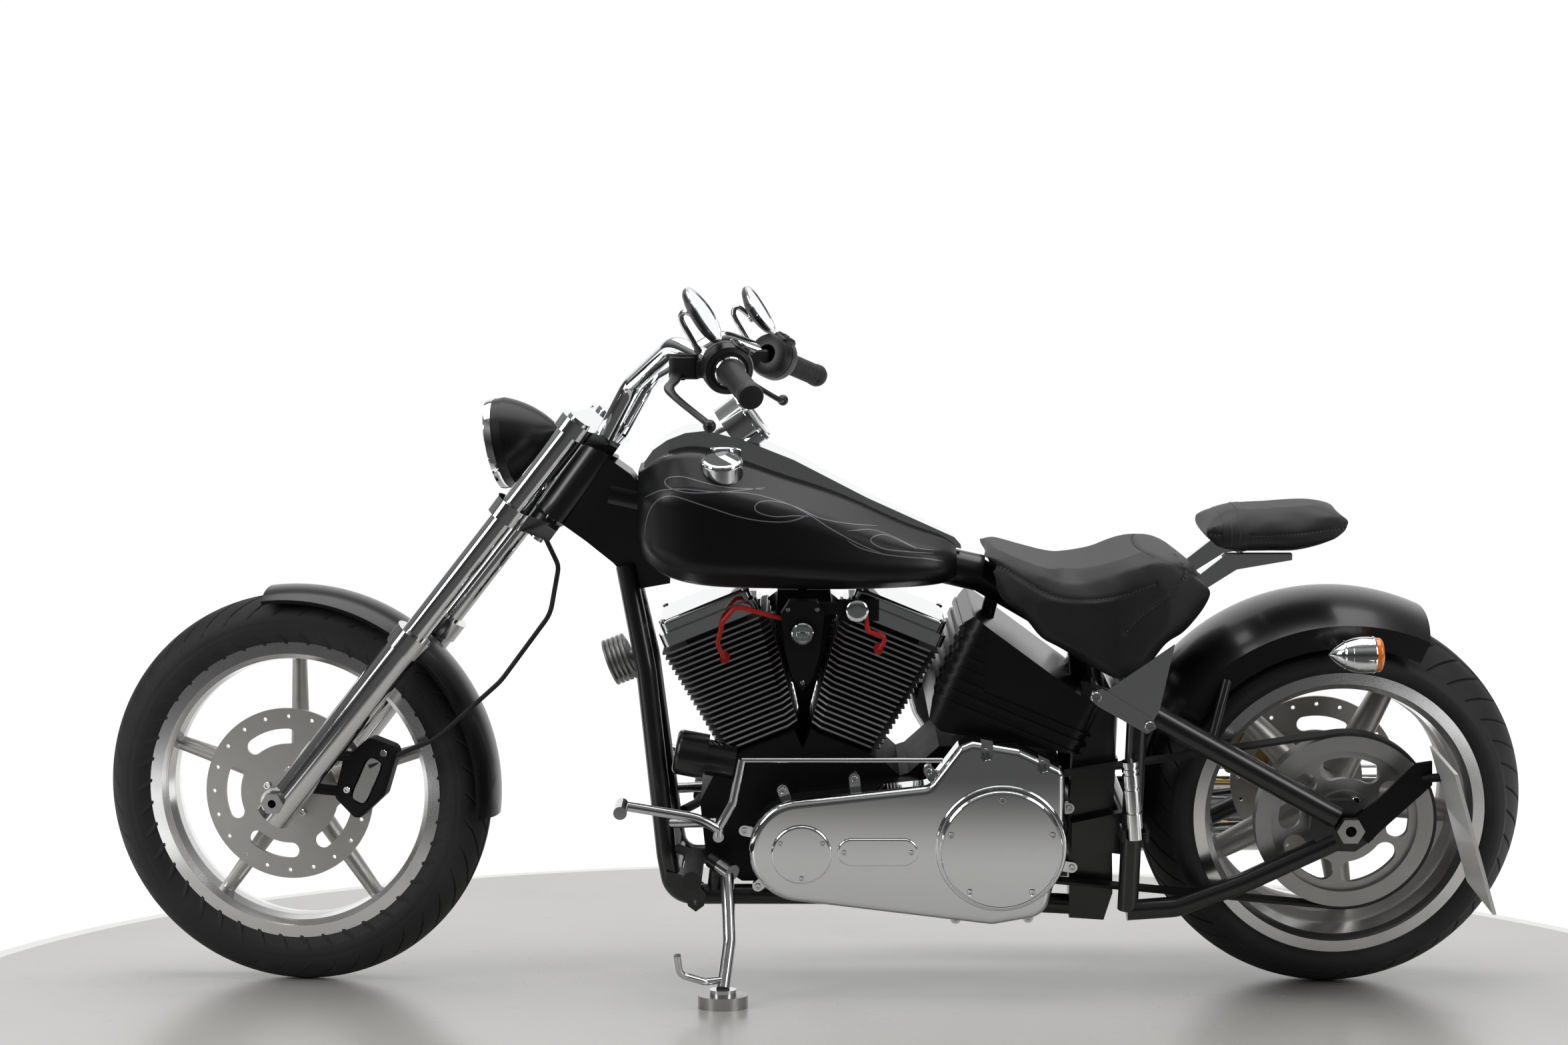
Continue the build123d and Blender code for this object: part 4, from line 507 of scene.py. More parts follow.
def shade(mesh, sharp=None):
    """Smooth shading, with edges sharper than the angle left crisp."""
    mesh.polygons.foreach_set("use_smooth", [True] * len(mesh.polygons))
    if sharp is not None:
        mesh.set_sharp_from_angle(angle=math.radians(sharp))


def tree_of(mesh):
    """A mesh's faces, ready for rays and nearest points."""
    return BVHTree.FromPolygons([v.co for v in mesh.vertices], [tuple(p.vertices) for p in mesh.polygons])


def skin(verts, faces, rings, closed=False):
    """Adds a row of closed rings of equal length to a mesh, capped unless the row closes on itself."""
    first, size, rows = len(verts), len(rings[0]), len(rings)
    for row in range(rows if closed else rows - 1):
        here, after = first + row * size, first + (row + 1) % rows * size
        for k in range(size):
            beside = (k + 1) % size
            faces.append((here + k, here + beside, after + beside, after + k))
    if not closed:
        last = first + (rows - 1) * size
        faces.append(tuple(range(first, first + size))[::-1])
        faces.append(tuple(range(last, last + size)))
    verts += [point for ring in rings for point in ring]


def add_mesh(name, verts, faces, finish, body, sharp=35.0):
    """A piece from places in the parked frame, in metres. Edges sharper than the angle stay crisp."""
    mesh = bpy.data.meshes.new(name)
    mesh.from_pydata([tuple(v) for v in verts], [], faces)
    shell = bmesh.new()
    shell.from_mesh(mesh)
    bmesh.ops.remove_doubles(shell, verts=shell.verts, dist=1e-6)
    bmesh.ops.recalc_face_normals(shell, faces=shell.faces)
    shell.to_mesh(mesh)
    shell.free()
    shade(mesh, sharp)
    return add_piece(name, mesh, finish, body)


def add_piece(name, mesh, finish, body):
    """An object for a finished mesh, riding on its body."""
    piece = link(name, mesh)
    mesh.materials.clear()
    mesh.materials.append(LIBRARY[finish])
    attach(piece, body)
    return piece


def smooth_line(points, step):
    """Even points along a smooth line through the given ones."""
    points = [Vector(p) for p in points]
    last = len(points) - 1
    dense = []
    for index in range(last):
        a, b, c, d = [points[max(0, min(last, index + k))] for k in (-1, 0, 1, 2)]
        pieces = max(2, int((c - b).length / step * 2))
        for k in range(pieces):
            t = k / pieces
            dense.append(0.5 * (2 * b + (c - a) * t + (2 * a - 5 * b + 4 * c - d) * t * t
                                + (3 * b - a - 3 * c + d) * t ** 3))
    dense.append(points[-1].copy())
    line, need = [dense[0]], step
    for a, b in zip(dense, dense[1:]):
        run = (b - a).length
        while need <= run and run > 0:
            line.append(a.lerp(b, need / run))
            a = line[-1]
            run = (b - a).length
            need = step
        need -= run
    if (dense[-1] - line[-1]).length > step * 0.3:
        line.append(dense[-1])
    return line


class Shape:
    """Faces gathered for one piece, given in motorcycle millimetres."""

    def __init__(self, steered=False):
        self.steered = steered
        self.verts, self.faces = [], []

    def rings(self, rings, closed=False):
        """Skins a row of closed rings of equal length."""
        parked_rings = [[parked(point, self.steered) for point in ring] for ring in rings]
        skin(self.verts, self.faces, parked_rings, closed)

    def lathe(self, matrix, profile, count=48, closed=False):
        """Turns a profile of (radius, height) about a frame's z."""
        turns = [2 * math.pi * k / count for k in range(count)]
        self.rings([[matrix @ Vector((math.cos(turn) * radius, math.sin(turn) * radius, height)) for turn in turns]
                    for radius, height in profile], closed)

    def tube(self, line, radii, count=14):
        """Round bar along a line, with a radius for each point."""
        rings, side = [], None
        for index, point in enumerate(line):
            ahead = (line[min(index + 1, len(line) - 1)] - line[max(index - 1, 0)]).normalized()
            if side is None:
                side = ahead.orthogonal().normalized()
            side = (side - ahead * side.dot(ahead)).normalized()
            other = ahead.cross(side)
            size = radii[index]
            turns = [2 * math.pi * k / count for k in range(count)]
            rings.append([point + (side * math.cos(turn) + other * math.sin(turn)) * size for turn in turns])
        self.rings(rings)

    def slab(self, matrix, outline, depth, edge=1.0):
        """Plate of a closed outline in a frame's x and y, from its z 0 up, with softened rims."""
        middle = sum((Vector(p) for p in outline), Vector((0, 0))) / len(outline)
        rings = []
        for height, inset in ((0, edge), (edge, 0), (depth - edge, 0), (depth, edge)):
            ring = []
            for point in outline:
                away = Vector(point) - middle
                spot = middle + away * (1 - inset / max(away.length, 1e-6))
                ring.append(matrix @ Vector((spot.x, spot.y, height)))
            rings.append(ring)
        self.rings(rings)

    def make(self, name, finish, body, slot, sharp=35.0):
        """The finished piece."""
        return add_mesh(name, self.verts, self.faces, finish, body, sharp)


def oval(half_x, half_y, power=2.0, count=36):
    """Closed outline, from an ellipse at power 2 to a rounded box at higher powers."""
    outline = []
    for k in range(count):
        angle = 2 * math.pi * k / count
        c, s = math.cos(angle), math.sin(angle)
        x = math.copysign(abs(c) ** (2 / power), c) * half_x
        y = math.copysign(abs(s) ** (2 / power), s) * half_y
        outline.append((x, y))
    return outline


TREES = {}


def land(node, point, toward, steered=False):
    """Where a ray from a place in millimetres meets a node: (place, outward normal), parked."""
    start, way = parked(point, steered), direction(toward, steered)
    if node not in TREES:
        TREES[node] = tree_of(frame["nodes"][node].data)
    place, normal, _, _ = TREES[node].ray_cast(start, way)
    if place is None:
        raise RuntimeError(f"nothing of {node} lies beyond {point}")
    return place, (normal if normal.dot(way) < 0 else -normal).normalized()


# ------------------------------------------------------------------ repeated pieces
class Growth:
    """A geometry tree under construction, with named inputs for its sizes."""

    def __init__(self, name, sizes):
        self.tree = bpy.data.node_groups.new(name, "GeometryNodeTree")
        self.tree.interface.new_socket("Geometry", in_out="INPUT", socket_type="NodeSocketGeometry")
        for size in sizes:
            self.tree.interface.new_socket(size, in_out="INPUT", socket_type="NodeSocketFloat")
        self.tree.interface.new_socket("Geometry", in_out="OUTPUT", socket_type="NodeSocketGeometry")
        self.entry = self.tree.nodes.new("NodeGroupInput")

    def add(self, kind, settings=None, inputs=None):
        """Adds a node: its settings first, then the values or links of its sockets, by name or number."""
        node = self.tree.nodes.new(kind)
        for key, value in (settings or {}).items():
            setattr(node, key, value)
        for key, value in (inputs or {}).items():
            if isinstance(value, bpy.types.NodeSocket):
                self.tree.links.new(value, node.inputs[key])
            else:
                node.inputs[key].default_value = value
        return node

    def attribute(self, name, kind):
        return self.add("GeometryNodeInputNamedAttribute", {"data_type": kind}, {"Name": name}).outputs["Attribute"]

    def close(self, geometry, material):
        """Realizes the instances, gives them their finish and ends the tree."""
        real = self.add("GeometryNodeRealizeInstances", None, {0: geometry})
        painted = self.add("GeometryNodeSetMaterial", None, {0: real.outputs[0], "Material": material})
        leaving = self.tree.nodes.new("NodeGroupOutput")
        self.tree.links.new(painted.outputs[0], leaving.inputs[0])

    def grow(self, name, seed_mesh, values, finish, body, slot):
        """Runs the tree on a mesh and keeps the result as a plain piece."""
        source = link(name + "_source", seed_mesh)
        modifier = source.modifiers.new("Growth", "NODES")
        modifier.node_group = self.tree
        sockets = {item.name: item.identifier for item in self.tree.interface.items_tree if item.in_out == "INPUT"}
        for key, value in values.items():
            modifier[sockets[key]] = value
        grown = finished_mesh(source, name)
        shade(grown, 35.0)
        return add_piece(name, grown, finish, body)

    def on_points(self, piece, material):
        """Sets a piece on every point, turned its way and at its size, and ends the tree."""
        turn = self.add("FunctionNodeAlignEulerToVector", {"axis": "Z"},
                        {"Vector": self.attribute("facing", "FLOAT_VECTOR")})
        copies = self.add("GeometryNodeInstanceOnPoints", None, {
            "Points": self.entry.outputs["Geometry"], "Instance": piece, "Rotation": turn.outputs[0],
            "Scale": self.attribute("girth", "FLOAT")})
        self.close(copies.outputs[0], material)


def seed_points(places, ways, sizes):
    """A mesh of loose points, each with the way it faces and its size in metres."""
    mesh = bpy.data.meshes.new("seeds")
    mesh.from_pydata([tuple(place) for place in places], [], [])
    facing = mesh.attributes.new("facing", "FLOAT_VECTOR", "POINT")
    facing.data.foreach_set("vector", [number for way in ways for number in way])
    girth = mesh.attributes.new("girth", "FLOAT", "POINT")
    girth.data.foreach_set("value", sizes)
    return mesh


def screw_growth():
    """Socket-head screws: a round head with a softened rim and a recess, one on every point."""
    growth = Growth("Screw heads", ["Height", "Recess"])
    entry = growth.entry.outputs
    disc = growth.add("GeometryNodeMeshCircle", {"fill_type": "NGON"}, {"Vertices": 18, "Radius": 1.0}).outputs[0]
    steps = ((entry["Height"], 1.0), (0.16, 0.86), (0.0, 0.56), (entry["Recess"], 0.94))     # rise, then scale
    top = None
    for rise, scale in steps:
        inputs = {"Mesh": disc, "Offset Scale": rise, "Individual": False}
        if top is not None:
            inputs["Selection"] = top
        pulled = growth.add("GeometryNodeExtrudeMesh", {"mode": "FACES"}, inputs)
        top = pulled.outputs["Top"]
        disc = growth.add("GeometryNodeScaleElements", {"domain": "FACE"},
                          {0: pulled.outputs["Mesh"], "Selection": top, "Scale": scale}).outputs[0]
    growth.on_points(disc, LIBRARY["screw"])
    return growth


def stitch_growth():
    """Short rounded threads laid end to end along a line of points that face along it."""
    growth = Growth("Stitches", ["Length", "Thickness"])
    entry = growth.entry.outputs
    thread = growth.add("GeometryNodeMeshUVSphere", None, {"Segments": 6, "Rings": 5, "Radius": 1.0})
    shape = growth.add("ShaderNodeCombineXYZ", None,
                       {0: entry["Thickness"], 1: entry["Thickness"], 2: entry["Length"]})
    long = growth.add("GeometryNodeTransform", None, {"Geometry": thread.outputs[0], "Scale": shape.outputs[0]})
    growth.on_points(long.outputs[0], LIBRARY["thread"])
    return growth


LIBRARY = {}


# ------------------------------------------------------------------ operators: studio and finishes
ROOM_STOPS = (  # from straight down to straight up
    (0.0, rgb(0.16, 0.16, 0.16)), (0.40, rgb(0.14, 0.14, 0.14)), (0.475, rgb(0.03, 0.03, 0.03)),
    (0.54, rgb(0.04, 0.04, 0.04)), (0.66, rgb(0.10, 0.10, 0.102)), (0.80, rgb(0.30, 0.30, 0.30)),
    (0.90, rgb(0.12, 0.12, 0.12)), (1.0, rgb(0.55, 0.55, 0.55)))
WHITE_FROM = (0.58, 0.84)                       # how far away from the camera the room turns white
CAMERA_TILT, CAMERA_PAN = -0.097, 0.24          # degrees from level and from square on
FLOOR_CENTRE, FLOOR_SIDE = (0.04, 0.05, 0.0), 14.0
COVE_FROM, SKIRTING = -1.1, 0.035               # where the cove begins, and the width of its foot
# Painted shade: towards the camera, the floor is painted near black between these.
FLOOR_PAINTED_SHADE = (-0.85, -0.50)                     # the floor darkens between these, towards the camera
SOFTBOXES = (   # name, place, target, width and length, power
    ("Ceiling softbox", (0, 0.2, 3.4), (0, 0.1, 0.5), (4.2, 2.6), 80),
    ("Left softbox", (-3.6, -2.2, 2.4), (-0.4, 0, 0.5), (1.2, 2.6), 55),
    ("Right softbox", (3.6, -2.4, 2.2), (0.4, 0, 0.5), (1.2, 2.6), 45))


class StudioSettings(bpy.types.PropertyGroup):
    """The studio round the motorcycle."""

    lens: bpy.props.FloatProperty(
        name="Lens", description="Focal length of the camera", default=58.7, min=10, unit="CAMERA")
    distance: bpy.props.FloatProperty(
        name="Distance", description="From the rear axle to the camera", default=4.3827, min=1, unit="LENGTH")
    height: bpy.props.FloatProperty(
        name="Height", description="Camera above the rear axle", default=0.4728, unit="LENGTH")
    offset: bpy.props.FloatProperty(
        name="Offset", description="Camera ahead of the rear axle", default=0.909, unit="LENGTH")
    floor_tone: bpy.props.FloatVectorProperty(
        name="Floor tone", description="Colour of the floor", default=(0.50, 0.49, 0.47), subtype="COLOR", min=0, max=1)
    floor_radius: bpy.props.FloatProperty(
        name="Floor radius", description="Radius of the grey floor", default=1.533, min=1, unit="LENGTH")


class CHOPPER_OT_studio(bpy.types.Operator):
    """Camera, floor, sky and lights"""

    bl_idname = "chopper.studio"
    bl_label = "Studio"

    def execute(self, context):
        settings = context.scene.chopper_studio
        scene = context.scene
        hub = Vector(JOINTS["rear_wheel_spin"]["pos_m"])
        camera = link("Camera", bpy.data.cameras.new("Camera"))
        camera.data.lens = settings.lens
        camera.data.sensor_width = 36
        camera.data.clip_start = 0.05
        camera.location = hub + Vector((-settings.offset, -settings.distance, settings.height))
        camera.rotation_euler = (math.radians(90 + CAMERA_TILT), 0, math.radians(CAMERA_PAN))
        scene.camera = camera
        scene.view_settings.view_transform = "Standard"
        self.add_floor(settings)
        self.add_sky(scene)
        for row in SOFTBOXES:
            self.add_light(*row)
        return {"FINISHED"}

    def add_light(self, name, place, target, size, power):
        """A soft rectangle of light turned towards a target."""
        light = bpy.data.lights.new(name, "AREA")
        light.shape = "RECTANGLE"
        light.size, light.size_y = size
        light.energy = power
        lamp = link(name, light)
        lamp.location = place
        lamp.rotation_euler = (Vector(target) - Vector(place)).to_track_quat("-Z", "Y").to_euler()

    def add_floor(self, settings):
        """A pale floor that ends in a white cove."""
        surface = Surface("Sealed studio floor")
        east, north, _ = surface.local(Matrix.Translation(FLOOR_CENTRE))
        radius = length_of(east, north)
        cove = radius.above(settings.floor_radius) * north.above(COVE_FROM)
        skirting = cove * radius.below(settings.floor_radius + SKIRTING)
        cloud = surface.cloud(2.2, 5.0)
        scuff = surface.cloud(24.0, 6.0).between(0.6, 0.75)
        tone = surface.blend(cloud * 0.4, rgb(*settings.floor_tone), shaded(settings.floor_tone, 0.82))
        tone = surface.blend(scuff * 0.12, tone, rgb(0.3, 0.29, 0.27))
        # Painted shade: the floor is painted near black towards the camera.
        tone = surface.blend(north.between(*FLOOR_PAINTED_SHADE), rgb(0.07, 0.07, 0.07), tone)
        floor_shader = surface.add("ShaderNodeBsdfPrincipled", None, {
            "Base Color": tone, "Roughness": cloud * 0.12 + 0.20, "Specular IOR Level": 0.5,
            "Normal": surface.relief(surface.cloud(7.0, 3.0), 0.002, 0.25)})
        white = surface.add("ShaderNodeEmission", None, {
            "Color": surface.blend(skirting, rgb(1, 1, 1), rgb(0.80, 0.80, 0.79)), "Strength": 1.05})
        mixed = surface.add("ShaderNodeMixShader", None, {0: cove, 1: floor_shader, 2: white})
        surface.add("ShaderNodeOutputMaterial", None, {"Surface": mixed})
        mesh = bpy.data.meshes.new("Floor")
        mesh.from_pydata([(x * FLOOR_SIDE, y * FLOOR_SIDE, 0) for x, y in ((-1, -1), (1, -1), (1, 1), (-1, 1))],
                         [], [(0, 1, 2, 3)])
        mesh.materials.append(surface.material)
        link("Floor", mesh)

    def add_sky(self, scene):
        """White behind the motorcycle, and a dim room with a bright ceiling on the camera's side."""
        world = bpy.data.worlds.new("Studio")
        world.use_nodes = True
        scene.world = world
        sky = Nodes(world.node_tree)
        sky.tree.nodes.clear()
        _, away, up = sky.split(sky.add("ShaderNodeTexCoord", output="Generated"))
        room = sky.add("ShaderNodeValToRGB", {"stops": ROOM_STOPS}, {0: up * 0.5 + 0.5})
        tone = sky.blend(away.between(*WHITE_FROM), room, rgb(1, 1, 1))
        back = sky.add("ShaderNodeBackground", None, {"Color": tone, "Strength": 1.0})
        sky.add("ShaderNodeOutputWorld", None, {"Surface": back})


class CHOPPER_OT_finishes(bpy.types.Operator):
    """Gives every modelled node its finish"""

    bl_idname = "chopper.finishes"
    bl_label = "Finishes"

    def execute(self, context):
        LIBRARY.update(make_library())
        for name, node in frame["nodes"].items():
            finish = LIBRARY[NODE_FINISH[name]]
            if not node.material_slots:
                node.data.materials.append(finish)
            for material_slot in node.material_slots:
                material_slot.material = finish
        return {"FINISHED"}


# ------------------------------------------------------------------ operators: tyres
class TyreSettings(bpy.types.PropertyGroup):
    """The moulded tread and sidewalls of both tyres."""

    groove: bpy.props.FloatProperty(
        name="Groove depth", description="Depth of the tread grooves", default=0.0045, min=0, unit="LENGTH")
    pitches: bpy.props.IntProperty(
        name="Pitches", description="Tread blocks round the tyre", default=42, min=8)
    slant: bpy.props.FloatProperty(
        name="Slant", description="How far a groove sweeps round, in pitches", default=1.6)


# end, hub's x, radius, half width, crown's radius, bead's radius, rim's half width, shoulder's half width,
# and the ring grooves as shares of the shoulder
TYRES = (
    ("front", 0, FRONT_RADIUS, 50.0, 52.0, 241.3, 39.4, 47.0, (0.16,)),
    ("rear", WHEELBASE, REAR_RADIUS, 120.0, 150.0, 228.6, 111.2, 106.0, (0.0, 0.30)))
RIM_FLANGE, FLANGE_THICKNESS = 14.0, 6.0
WALL_STEPS, RIDGES, RIDGE_DEPTH = 16, (2, 4, 11), 0.9       # the sidewall's moulded ridges, by step
PITCH_COLUMNS = (0.0, 0.12, 0.24, 0.36, 0.435, 0.45, 0.55, 0.565, 0.66, 0.78, 0.90)
GROOVE_COLUMNS = (5, 6)
RING_GROOVE_HALF = 1.9
HALVES_MEET = 0.08          # the two sides' patterns blend within this share of the shoulder
TREAD_STEPS = {"front": 32, "rear": 44}


def arc_through(a, b, c, count):
    """Points on the round arc from a through b to c."""
    ax, ay = a
    bx, by = b
    cx, cy = c
    d = 2 * (ax * (by - cy) + bx * (cy - ay) + cx * (ay - by))
    a2, b2, c2 = ax ** 2 + ay ** 2, bx ** 2 + by ** 2, cx ** 2 + cy ** 2
    ux = (a2 * (by - cy) + b2 * (cy - ay) + c2 * (ay - by)) / d
    uy = (a2 * (cx - bx) + b2 * (ax - cx) + c2 * (bx - ax)) / d
    radius = math.hypot(ax - ux, ay - uy)
    start, middle, end = [math.atan2(y - uy, x - ux) for x, y in (a, b, c)]
    sweep = (end - start) % (2 * math.pi)
    if not 0 <= (middle - start) % (2 * math.pi) <= sweep:
        sweep -= 2 * math.pi
    angles = [start + sweep * k / count for k in range(count + 1)]
    return [(ux + math.cos(angle) * radius, uy + math.sin(angle) * radius) for angle in angles]


class CHOPPER_OT_tyres(bpy.types.Operator):
    """Both tyres with their tread and sidewall ridges"""

    bl_idname = "chopper.tyres"
    bl_label = "Tyres"

    def execute(self, context):
        for row in TYRES:
            self.make_tyre(context.scene.chopper_tyres, *row)
        return {"FINISHED"}

    def make_tyre(self, settings, end, hub_x, radius, half, crown, bead, rim_half, shoulder, ring_grooves):
        """One tyre, its outline turned round the hub with the grooves sunk into it."""
        place = (STEERED if end == "front" else UPRIGHT) @ Matrix.Scale(MM, 4)
        rings = []
        for y, r in self.profile(end, radius, half, crown, bead, rim_half, shoulder):
            ring = []
            for pitch in range(settings.pitches):
                for index, column in enumerate(PITCH_COLUMNS):
                    share = y / shoulder
                    turn = 2 * math.pi * (pitch + column + self.sweep(settings, share)) / settings.pitches
                    deep = r - settings.groove / MM * self.depth(index, share, shoulder, ring_grooves)
                    ring.append(place @ Vector((hub_x + math.cos(turn) * deep, y, radius + math.sin(turn) * deep)))
            rings.append(ring)
        verts, faces = [], []
        skin(verts, faces, rings, closed=True)
        tyre = add_mesh(end + "_tread", verts, faces, "tyre", end + "_wheel_set", 40)
        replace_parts(tyre, end + "_tyre")

    def profile(self, end, radius, half, crown, bead, rim_half, shoulder):
        """The tyre's outline across its width, bead to bead, as (sideways, radius)."""
        flange, centre = bead + RIM_FLANGE, radius - crown
        shoulder_r = centre + math.sqrt(crown ** 2 - shoulder ** 2)
        wide = (half, (shoulder_r + flange) / 2 + 3)
        wall = arc_through((rim_half - 1, flange), wide, (shoulder, shoulder_r), WALL_STEPS)
        wall = [(y - (RIDGE_DEPTH if index in RIDGES else 0), r) for index, (y, r) in enumerate(wall)]
        steps, top = TREAD_STEPS[end], math.asin(shoulder / crown)
        leans = [top * (1 - 2 * k / steps) for k in range(1, steps)]
        tread = [(math.sin(lean) * crown, centre + math.cos(lean) * crown) for lean in leans]
        seat = rim_half - FLANGE_THICKNESS
        foot = [(seat, bead), (seat, flange)] + wall
        return foot + tread + [(-y, r) for y, r in reversed(foot)]

    def sweep(self, settings, share):
        """How far the pattern turns round at a share of the shoulder, with its sides half a pitch apart."""
        blend = max(0.0, min(1.0, (share + HALVES_MEET) / (2 * HALVES_MEET)))
        return settings.slant * abs(share) ** 1.4 + 0.5 * blend

    def depth(self, column, share, shoulder, ring_grooves):
        """How deep the tread is cut, from 0 to 1."""
        share = abs(share)
        if share < 1.0 and min(abs(share - groove) * shoulder for groove in ring_grooves) < RING_GROOVE_HALF:
            return 1.0
        if column in GROOVE_COLUMNS and ring_grooves[-1] + 0.06 < share < 1.02:
            return min(1.0, (1.06 - share) / 0.12)
        return 0.0


# ------------------------------------------------------------------ operators: soft goods
class CushionSettings(bpy.types.PropertyGroup):
    """How the two pads are stuffed and sewn."""

    voxel: bpy.props.FloatProperty(
        name="Voxel", description="Size of the cloth's cells", default=0.005, min=0.003, unit="LENGTH")
    shrink: bpy.props.FloatProperty(
        name="Shrink", description="How far the pad starts inside its cover", default=0.009, unit="LENGTH")
    pressure: bpy.props.FloatProperty(
        name="Pressure", description="Pressure of the stuffing", default=4.0)
    frames: bpy.props.IntProperty(
        name="Frames", description="Steps of the simulation", default=20)
    cap: bpy.props.FloatProperty(
        name="Cap", description="The furthest that a point may swell", default=0.024, unit="LENGTH")
    stitch: bpy.props.FloatProperty(
        name="Stitch", description="Length from one stitch to the next", default=0.0062, unit="LENGTH")


SEAT_SEAMS = (      # sewn on both sides, each in x and z, met from the side
    [(1150, 748), (1188, 741), (1222, 724), (1262, 703), (1300, 694), (1345, 695), (1398, 706), (1440, 722)],
    [(1474, 758), (1488, 746), (1490, 733), (1480, 722), (1456, 696), (1418, 668), (1392, 640)])
INSERT_SEAM = [(1440, -96), (1424, -62), (1418, 0), (1424, 62), (1440, 96)]        # met from above, in x and y
PAD_SEAM = [(1528, 792), (1640, 790), (1768, 804)]
SEAM_REACH, SEAM_DEPTH = 0.009, 0.0026
CORNER_ROUNDS, SMOOTH_ROUNDS, SMOOTH_SWELL = 14, 26, 0.0012
PAD_ALLOWANCE, UNDERSIDE = 0.003, 0.3   # how far a pad may stand proud, but not where it faces down this much
THREAD_LIFT, CORNER_GAP = 0.0004, 2.5   # a thread's height over the leather; no stitch spans more than this many steps
STRAP_X, STRAP_MIDDLE_Z = (1556.0, 1598.0), 794.0
STRAP_LIFT, STRAP_SUNK = 2.2, 1.5       # its outer face stands above the pad, its inner face lies below
STRAP_COUNT = 64


def cover_mesh(node, voxel):
    """A closed even skin of a modelled pad."""
    mesh = frame["nodes"][node].data.copy()
    cover = bmesh.new()
    cover.from_mesh(mesh)
    bmesh.ops.remove_doubles(cover, verts=cover.verts, dist=1e-5)
    cover.to_mesh(mesh)
    cover.free()
    source = link("cover", mesh)
    remesh = source.modifiers.new("Cells", "REMESH")
    remesh.mode = "VOXEL"
    remesh.voxel_size = voxel
    return finished_mesh(source, "cover")


def relax(mesh, shrink, rounds):
    """Draws a skin inwards and rounds its corners."""
    cover = bmesh.new()
    cover.from_mesh(mesh)
    cover.normal_update()
    for vert, normal in [(v, v.normal.copy()) for v in cover.verts]:
        vert.co -= normal * shrink
    for _ in range(rounds):
        bmesh.ops.smooth_vert(cover, verts=cover.verts, factor=0.5, use_axis_x=True, use_axis_y=True, use_axis_z=True)
    cover.to_mesh(mesh)
    cover.free()


def stuff(mesh, settings):
    """Blows the skin up as cloth under pressure and gives back its new places."""
    start = [v.co.copy() for v in mesh.vertices]
    pad = link("stuffing", mesh)
    scene = bpy.context.scene
    cloth = pad.modifiers.new("Cloth", "CLOTH")
    cloth.settings.quality = 4
    cloth.settings.mass = 0.25
    cloth.settings.tension_stiffness = 18
    cloth.settings.compression_stiffness = 18
    cloth.settings.bending_stiffness = 0.6
    cloth.settings.use_pressure = True
    cloth.settings.uniform_pressure_force = settings.pressure
    cloth.settings.effector_weights.gravity = 0
    cloth.point_cache.frame_start = 1
    cloth.point_cache.frame_end = settings.frames
    for number in range(1, settings.frames + 1):
        scene.frame_set(number)
    swollen = finished_mesh(pad, "swollen")
    scene.frame_set(1)
    for vert, first in zip(swollen.vertices, start):
        moved = vert.co - first
        if moved.length > settings.cap:
            vert.co = first + moved.normalized() * settings.cap
    return swollen


def hold_in(mesh, node):
    """Keeps a pad within its modelled space, give or take its allowance, and flat where it rests."""
    tree = tree_of(frame["nodes"][node].data)
    below = direction((0, 0, -1))
    for vert in mesh.vertices:
        place, normal, _, _ = tree.find_nearest(vert.co)
        limit = 0.0 if normal.dot(below) > UNDERSIDE else PAD_ALLOWANCE
        if (vert.co - place).dot(normal) > limit:
            vert.co = place + normal * limit


def sink_seam(mesh, line):
    """Draws a pad inwards along a sewn line."""
    tree = KDTree(len(line))
    for index, place in enumerate(line):
        tree.insert(place, index)
    tree.balance()
    for vert, normal in [(v, v.normal.copy()) for v in mesh.vertices]:
        distance = tree.find(vert.co)[2]
        if distance < SEAM_REACH:
            vert.co -= normal * SEAM_DEPTH * (1 - distance / SEAM_REACH) ** 2


